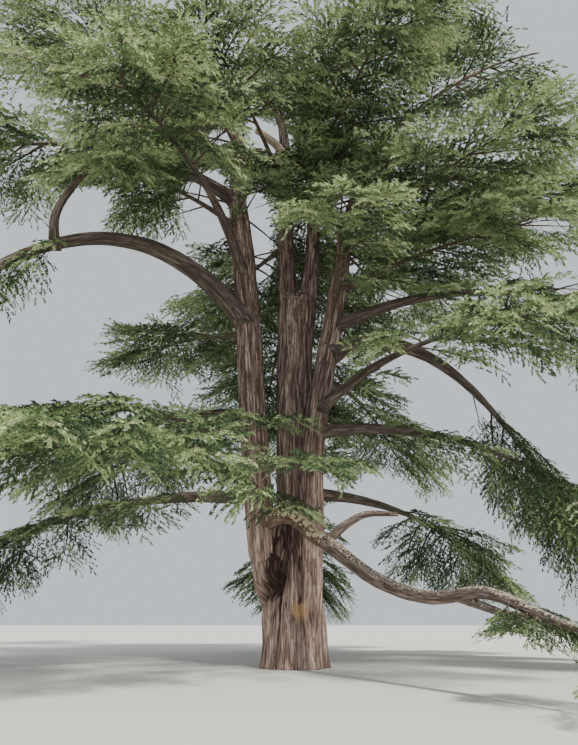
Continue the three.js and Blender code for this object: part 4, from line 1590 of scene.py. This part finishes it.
    def index_limbs(self) -> None:
        """Lists points down the middle of every limb, to keep needles out of the wood."""
        samples, radii = [], []
        for name, limb in self.wood.limbs.items():
            if name.endswith("_whole"):
                continue
            shares = np.linspace(0, 0.98, max(4, round(limb.curve.length / self.index_spacing)))
            samples.append(limb.curve.at(shares))
            radii.append(limb.radius(shares))
        points = np.vstack(samples)
        self.limb_radii = np.concatenate(radii)
        self.limb_tree = KDTree(len(points))
        for i, point in enumerate(points):
            self.limb_tree.insert(point, i)
        self.limb_tree.balance()

    def build(self) -> None:
        """Grows the crown and makes its meshes."""
        self.index_limbs()
        self.grow()
        self.build_twigs()
        self.build_needles()

    def build_twigs(self) -> None:
        """Joins the masses' stems into one mesh, the side limbs into another, and the twigs into a third."""
        batches: dict[tuple[int, int], list[Twig]] = {}
        for stem in self.stems:
            row = (stem.curve.at(np.linspace(0, 1, self.stem_rings)), stem.base, stem.base * stem.tip)
            batches.setdefault((self.stem_rings, self.stem_sides), []).append(row)
        for row in self.twigs:
            sides = self.limb_sides if len(row[0]) > 3 else self.twig_sides
            batches.setdefault((len(row[0]), sides), []).append(row)
        bark = TWIG_FINISH.material()
        for (rings, sides), rows in batches.items():
            fade = self.stem_fade if sides == self.stem_sides else 1.0
            made = self.tube_batch(f"twigs_{sides}_sided", rows, rings, sides, fade)
            made.data.materials.append(bark)
            seat(made, "needles", *self.nodes)

    def tube_batch(self, name: str, rows: list[Twig], rings: int, sides: int, fade: float) -> bpy.types.Object:
        """Makes many thin tubes at once.

        Args:
            name: the object's name.
            rows: each tube's ring centres, base radius and tip radius.
            rings: rings in each.
            sides: sides of each.
            fade: how fast each thins: 1 evenly, and more, sooner.

        Returns:
            One mesh of them all, each drawn in at its tip.
        """
        middles = np.stack([row[0] for row in rows])
        base, tip = (np.array([row[column] for row in rows])[:, None] for column in (1, 2))
        radii = tip + (base - tip) * (1 - np.linspace(0, 1, rings)[None, :]) ** fade
        radii[:, -1] *= self.tip_draw
        ahead = unit(np.gradient(middles, axis=1))
        across = unit(np.cross(ahead, np.array([0.13, 0.07, 1.0])))
        aside = np.cross(ahead, across)
        angles = np.arange(sides) * TAU / sides
        ring = (np.cos(angles)[None, None, :, None] * across[:, :, None, :]
                + np.sin(angles)[None, None, :, None] * aside[:, :, None, :])
        corners = middles[:, :, None, :] + ring * radii[:, :, None, None]
        faces = ring_faces(rings, sides)
        offsets = np.arange(len(rows))[:, None, None] * rings * sides
        return mesh_object(name, corners.reshape(-1, 3), (faces[None] + offsets).reshape(-1, 4))

    def build_needles(self) -> None:
        """Sets a strand of needles at every place, in pieces of one green each."""
        template = NeedleStrand()
        most = self.piece_triangles // template.triangles()
        for green in Green:
            places, aheads, lengths = self.strands.joined(green)
            finish = NEEDLE_FINISHES[green].material()
            for part, rows in enumerate(np.array_split(np.arange(len(places)), max(1, math.ceil(len(places) / most)))):
                made = template.instance_on(f"needles_{green.name.lower()}_{part + 1}", places[rows], aheads[rows],
                                            lengths[rows], finish, self.first_seed + part)
                seat(made, "needles", *self.nodes)
        log.info("%d twigs", len(self.twigs))


@dataclass(frozen=True)
class NeedleStrand:
    """One strand: a thin shoot along +Z, one unit long, with tufts of needles round it."""

    whorls: int = 5
    blades: int = 2
    blade_length: float = 0.31
    blade_width: float = 0.138
    lean: float = 36.0
    core: float = 0.012
    slimness: float = 0.85
    arch: float = 0.09
    sway: float = 0.6
    foot: float = 0.04
    leafy: float = 0.76
    whorl_turn: float = 0.31
    fullest: float = 0.4
    thinning: float = 0.35
    tuft_half: float = 0.07
    tuft_turn: float = 0.4
    core_top: float = 0.95

    def triangles(self) -> int:
        """How many triangles one strand has."""
        return len(self.arrays()[1])

    def arrays(self) -> tuple[Array, Array]:
        """The strand's corners and triangles.

        Returns:
            One corner a row, and one triangle a row.
        """
        corners: list[Array] = []
        lean = math.radians(self.lean)
        for whorl in range(self.whorls):
            height = self.foot + self.leafy * whorl / (self.whorls - 1)
            size = 1 - self.thinning * abs(whorl / (self.whorls - 1) - self.fullest)
            for blade in range(self.blades):
                turn = TAU * (blade / self.blades + self.whorl_turn * whorl)
                out = np.array([math.cos(turn), math.sin(turn), 0])
                aside = np.array([-math.sin(turn), math.cos(turn), 0])
                root = np.array([0, 0, height])
                tip = root + (out * math.sin(lean) + UP * math.cos(lean)) * self.blade_length * size
                half = aside * self.blade_width * size / 2
                corners += [root - half, root + half, tip]
        for turn in (self.tuft_turn, self.tuft_turn + math.pi / 2):
            aside = np.array([math.cos(turn), math.sin(turn), 0])
            corners += [UP * self.leafy - aside * self.tuft_half, UP * self.leafy + aside * self.tuft_half, UP]
        blades = np.arange(len(corners)).reshape(-1, 3)
        angles = np.arange(3) * TAU / 3
        foot = np.column_stack([np.cos(angles), np.sin(angles), np.zeros(3)]) * self.core
        first = len(corners)
        corners += [*foot, UP * self.core_top]
        core = np.array([[first + k, first + (k + 1) % 3, first + 3] for k in range(3)])
        points = np.array(corners)
        points[:, 0] += self.arch * 4 * points[:, 2] * (1 - points[:, 2])
        return points, np.vstack([blades, core])

    def instance_on(self, name: str, places: Array, aheads: Array, lengths: Array,
                    finish: bpy.types.Material, seed: int) -> bpy.types.Object:
        """Sets a strand at each place by Geometry Nodes.

        Args:
            name: the piece's name.
            places: where each strand starts.
            aheads: where each points.
            lengths: how long each is.
            finish: the needles' finish.
            seed: seeds each strand's turn about itself.

        Returns:
            One mesh of all the strands.
        """
        points = mesh_object(name, places)
        store(points, "ahead", aheads)
        store(points, "length", lengths)
        corners, faces = self.arrays()
        strand = mesh_object("strand", corners, faces, smooth_faces=False)
        run_group(points, self.tree(), {"Strand": strand, "Needles": finish, "Seed": seed,
                                        "Slimness": self.slimness, "Sway": self.sway})
        bpy.data.objects.remove(strand)
        return points

    def tree(self) -> bpy.types.NodeTree:
        """Builds the tree that turns points into strands.

        Returns:
            The node group, with inputs for the strand, its finish and the seed.
        """
        made, given = geometry_group("strands of needles", {
            "Strand": "Object", "Needles": "Material", "Seed": "Int", "Slimness": "Float", "Sway": "Float"})
        ahead, length = made.stored("ahead", "FLOAT_VECTOR"), made.stored("length")
        other = made.math("MULTIPLY", given["Sway"], -1.0)
        roll = made.out("FunctionNodeRandomValue", {2: other, 3: given["Sway"], "Seed": given["Seed"]}, 1,
                        data_type="FLOAT")
        aimed = made.out("FunctionNodeAlignRotationToVector", {"Vector": ahead}, axis="Z")
        upright = made.out("FunctionNodeAlignRotationToVector", {"Rotation": aimed, "Vector": UP}, axis="X",
                           pivot_axis="Z")
        spin = made.out("FunctionNodeAxisAngleToRotation", {"Axis": UP, "Angle": roll})
        both = made.out("FunctionNodeRotateRotation", {"Rotation": upright, "Rotate By": spin},
                        rotation_space="LOCAL")
        strand = made.out("GeometryNodeObjectInfo", {"Object": given["Strand"]}, "Geometry")
        slim = made.math("MULTIPLY", length, given["Slimness"])
        sized = made.out("ShaderNodeCombineXYZ", {0: slim, 1: slim, 2: length})
        placed = made.out("GeometryNodeInstanceOnPoints", {
            "Points": given["Geometry"], "Instance": strand, "Rotation": both, "Scale": sized})
        made.close(placed, given["Needles"])
        return made.tree


@dataclass(frozen=True)
class Studio:
    """The pale floor and the soft light round the tree."""

    floor_half: float = 120.0
    floor_colour: str = "#d8d6d0"
    floor_roughness: float = 0.9
    floor_shine: float = 0.5
    air_colour: str = "#e6edf4"
    air_strength: float = 0.9
    sun_strength: float = 4.8
    sun_angle: float = 6.0
    sun_lift: float = 52.0
    sun_azimuth: float = 300.0
    sun_colour: tuple[float, float, float] = (1.0, 0.95, 0.86)

    def build(self) -> None:
        """Makes the floor, the sun and the air's light."""
        half = self.floor_half
        corners = np.array([(-half, -half, 0), (half, -half, 0), (half, half, 0), (-half, half, 0)])
        floor = mesh_object("floor", corners, np.array([[0, 1, 2, 3]]))
        paint, tree = blank_material("matt pale floor")
        tree.surface(linear(self.floor_colour), self.floor_roughness, self.floor_shine)
        floor.data.materials.append(paint)
        sun = bpy.data.lights.new("sun", "SUN")
        sun.energy = self.sun_strength
        sun.angle = math.radians(self.sun_angle)
        sun.color = self.sun_colour
        aim = Vector(heading(self.sun_azimuth, self.sun_lift))
        placed("sun", sun).rotation_euler = aim.to_track_quat("Z", "Y").to_euler()
        world = bpy.data.worlds.new("air")
        world.use_nodes = True
        air = world.node_tree.nodes["Background"].inputs
        air["Color"].default_value = linear(self.air_colour)
        air["Strength"].default_value = self.air_strength
        bpy.context.scene.world = world


def main() -> None:
    """Builds the tree, its stage and its camera, and writes how large it came out."""
    view = PhotoView()
    view.camera()
    Studio().build()
    wood = Wood()
    wood.build()
    Crown(wood, view).build()


if __name__ == "__main__":
    main()
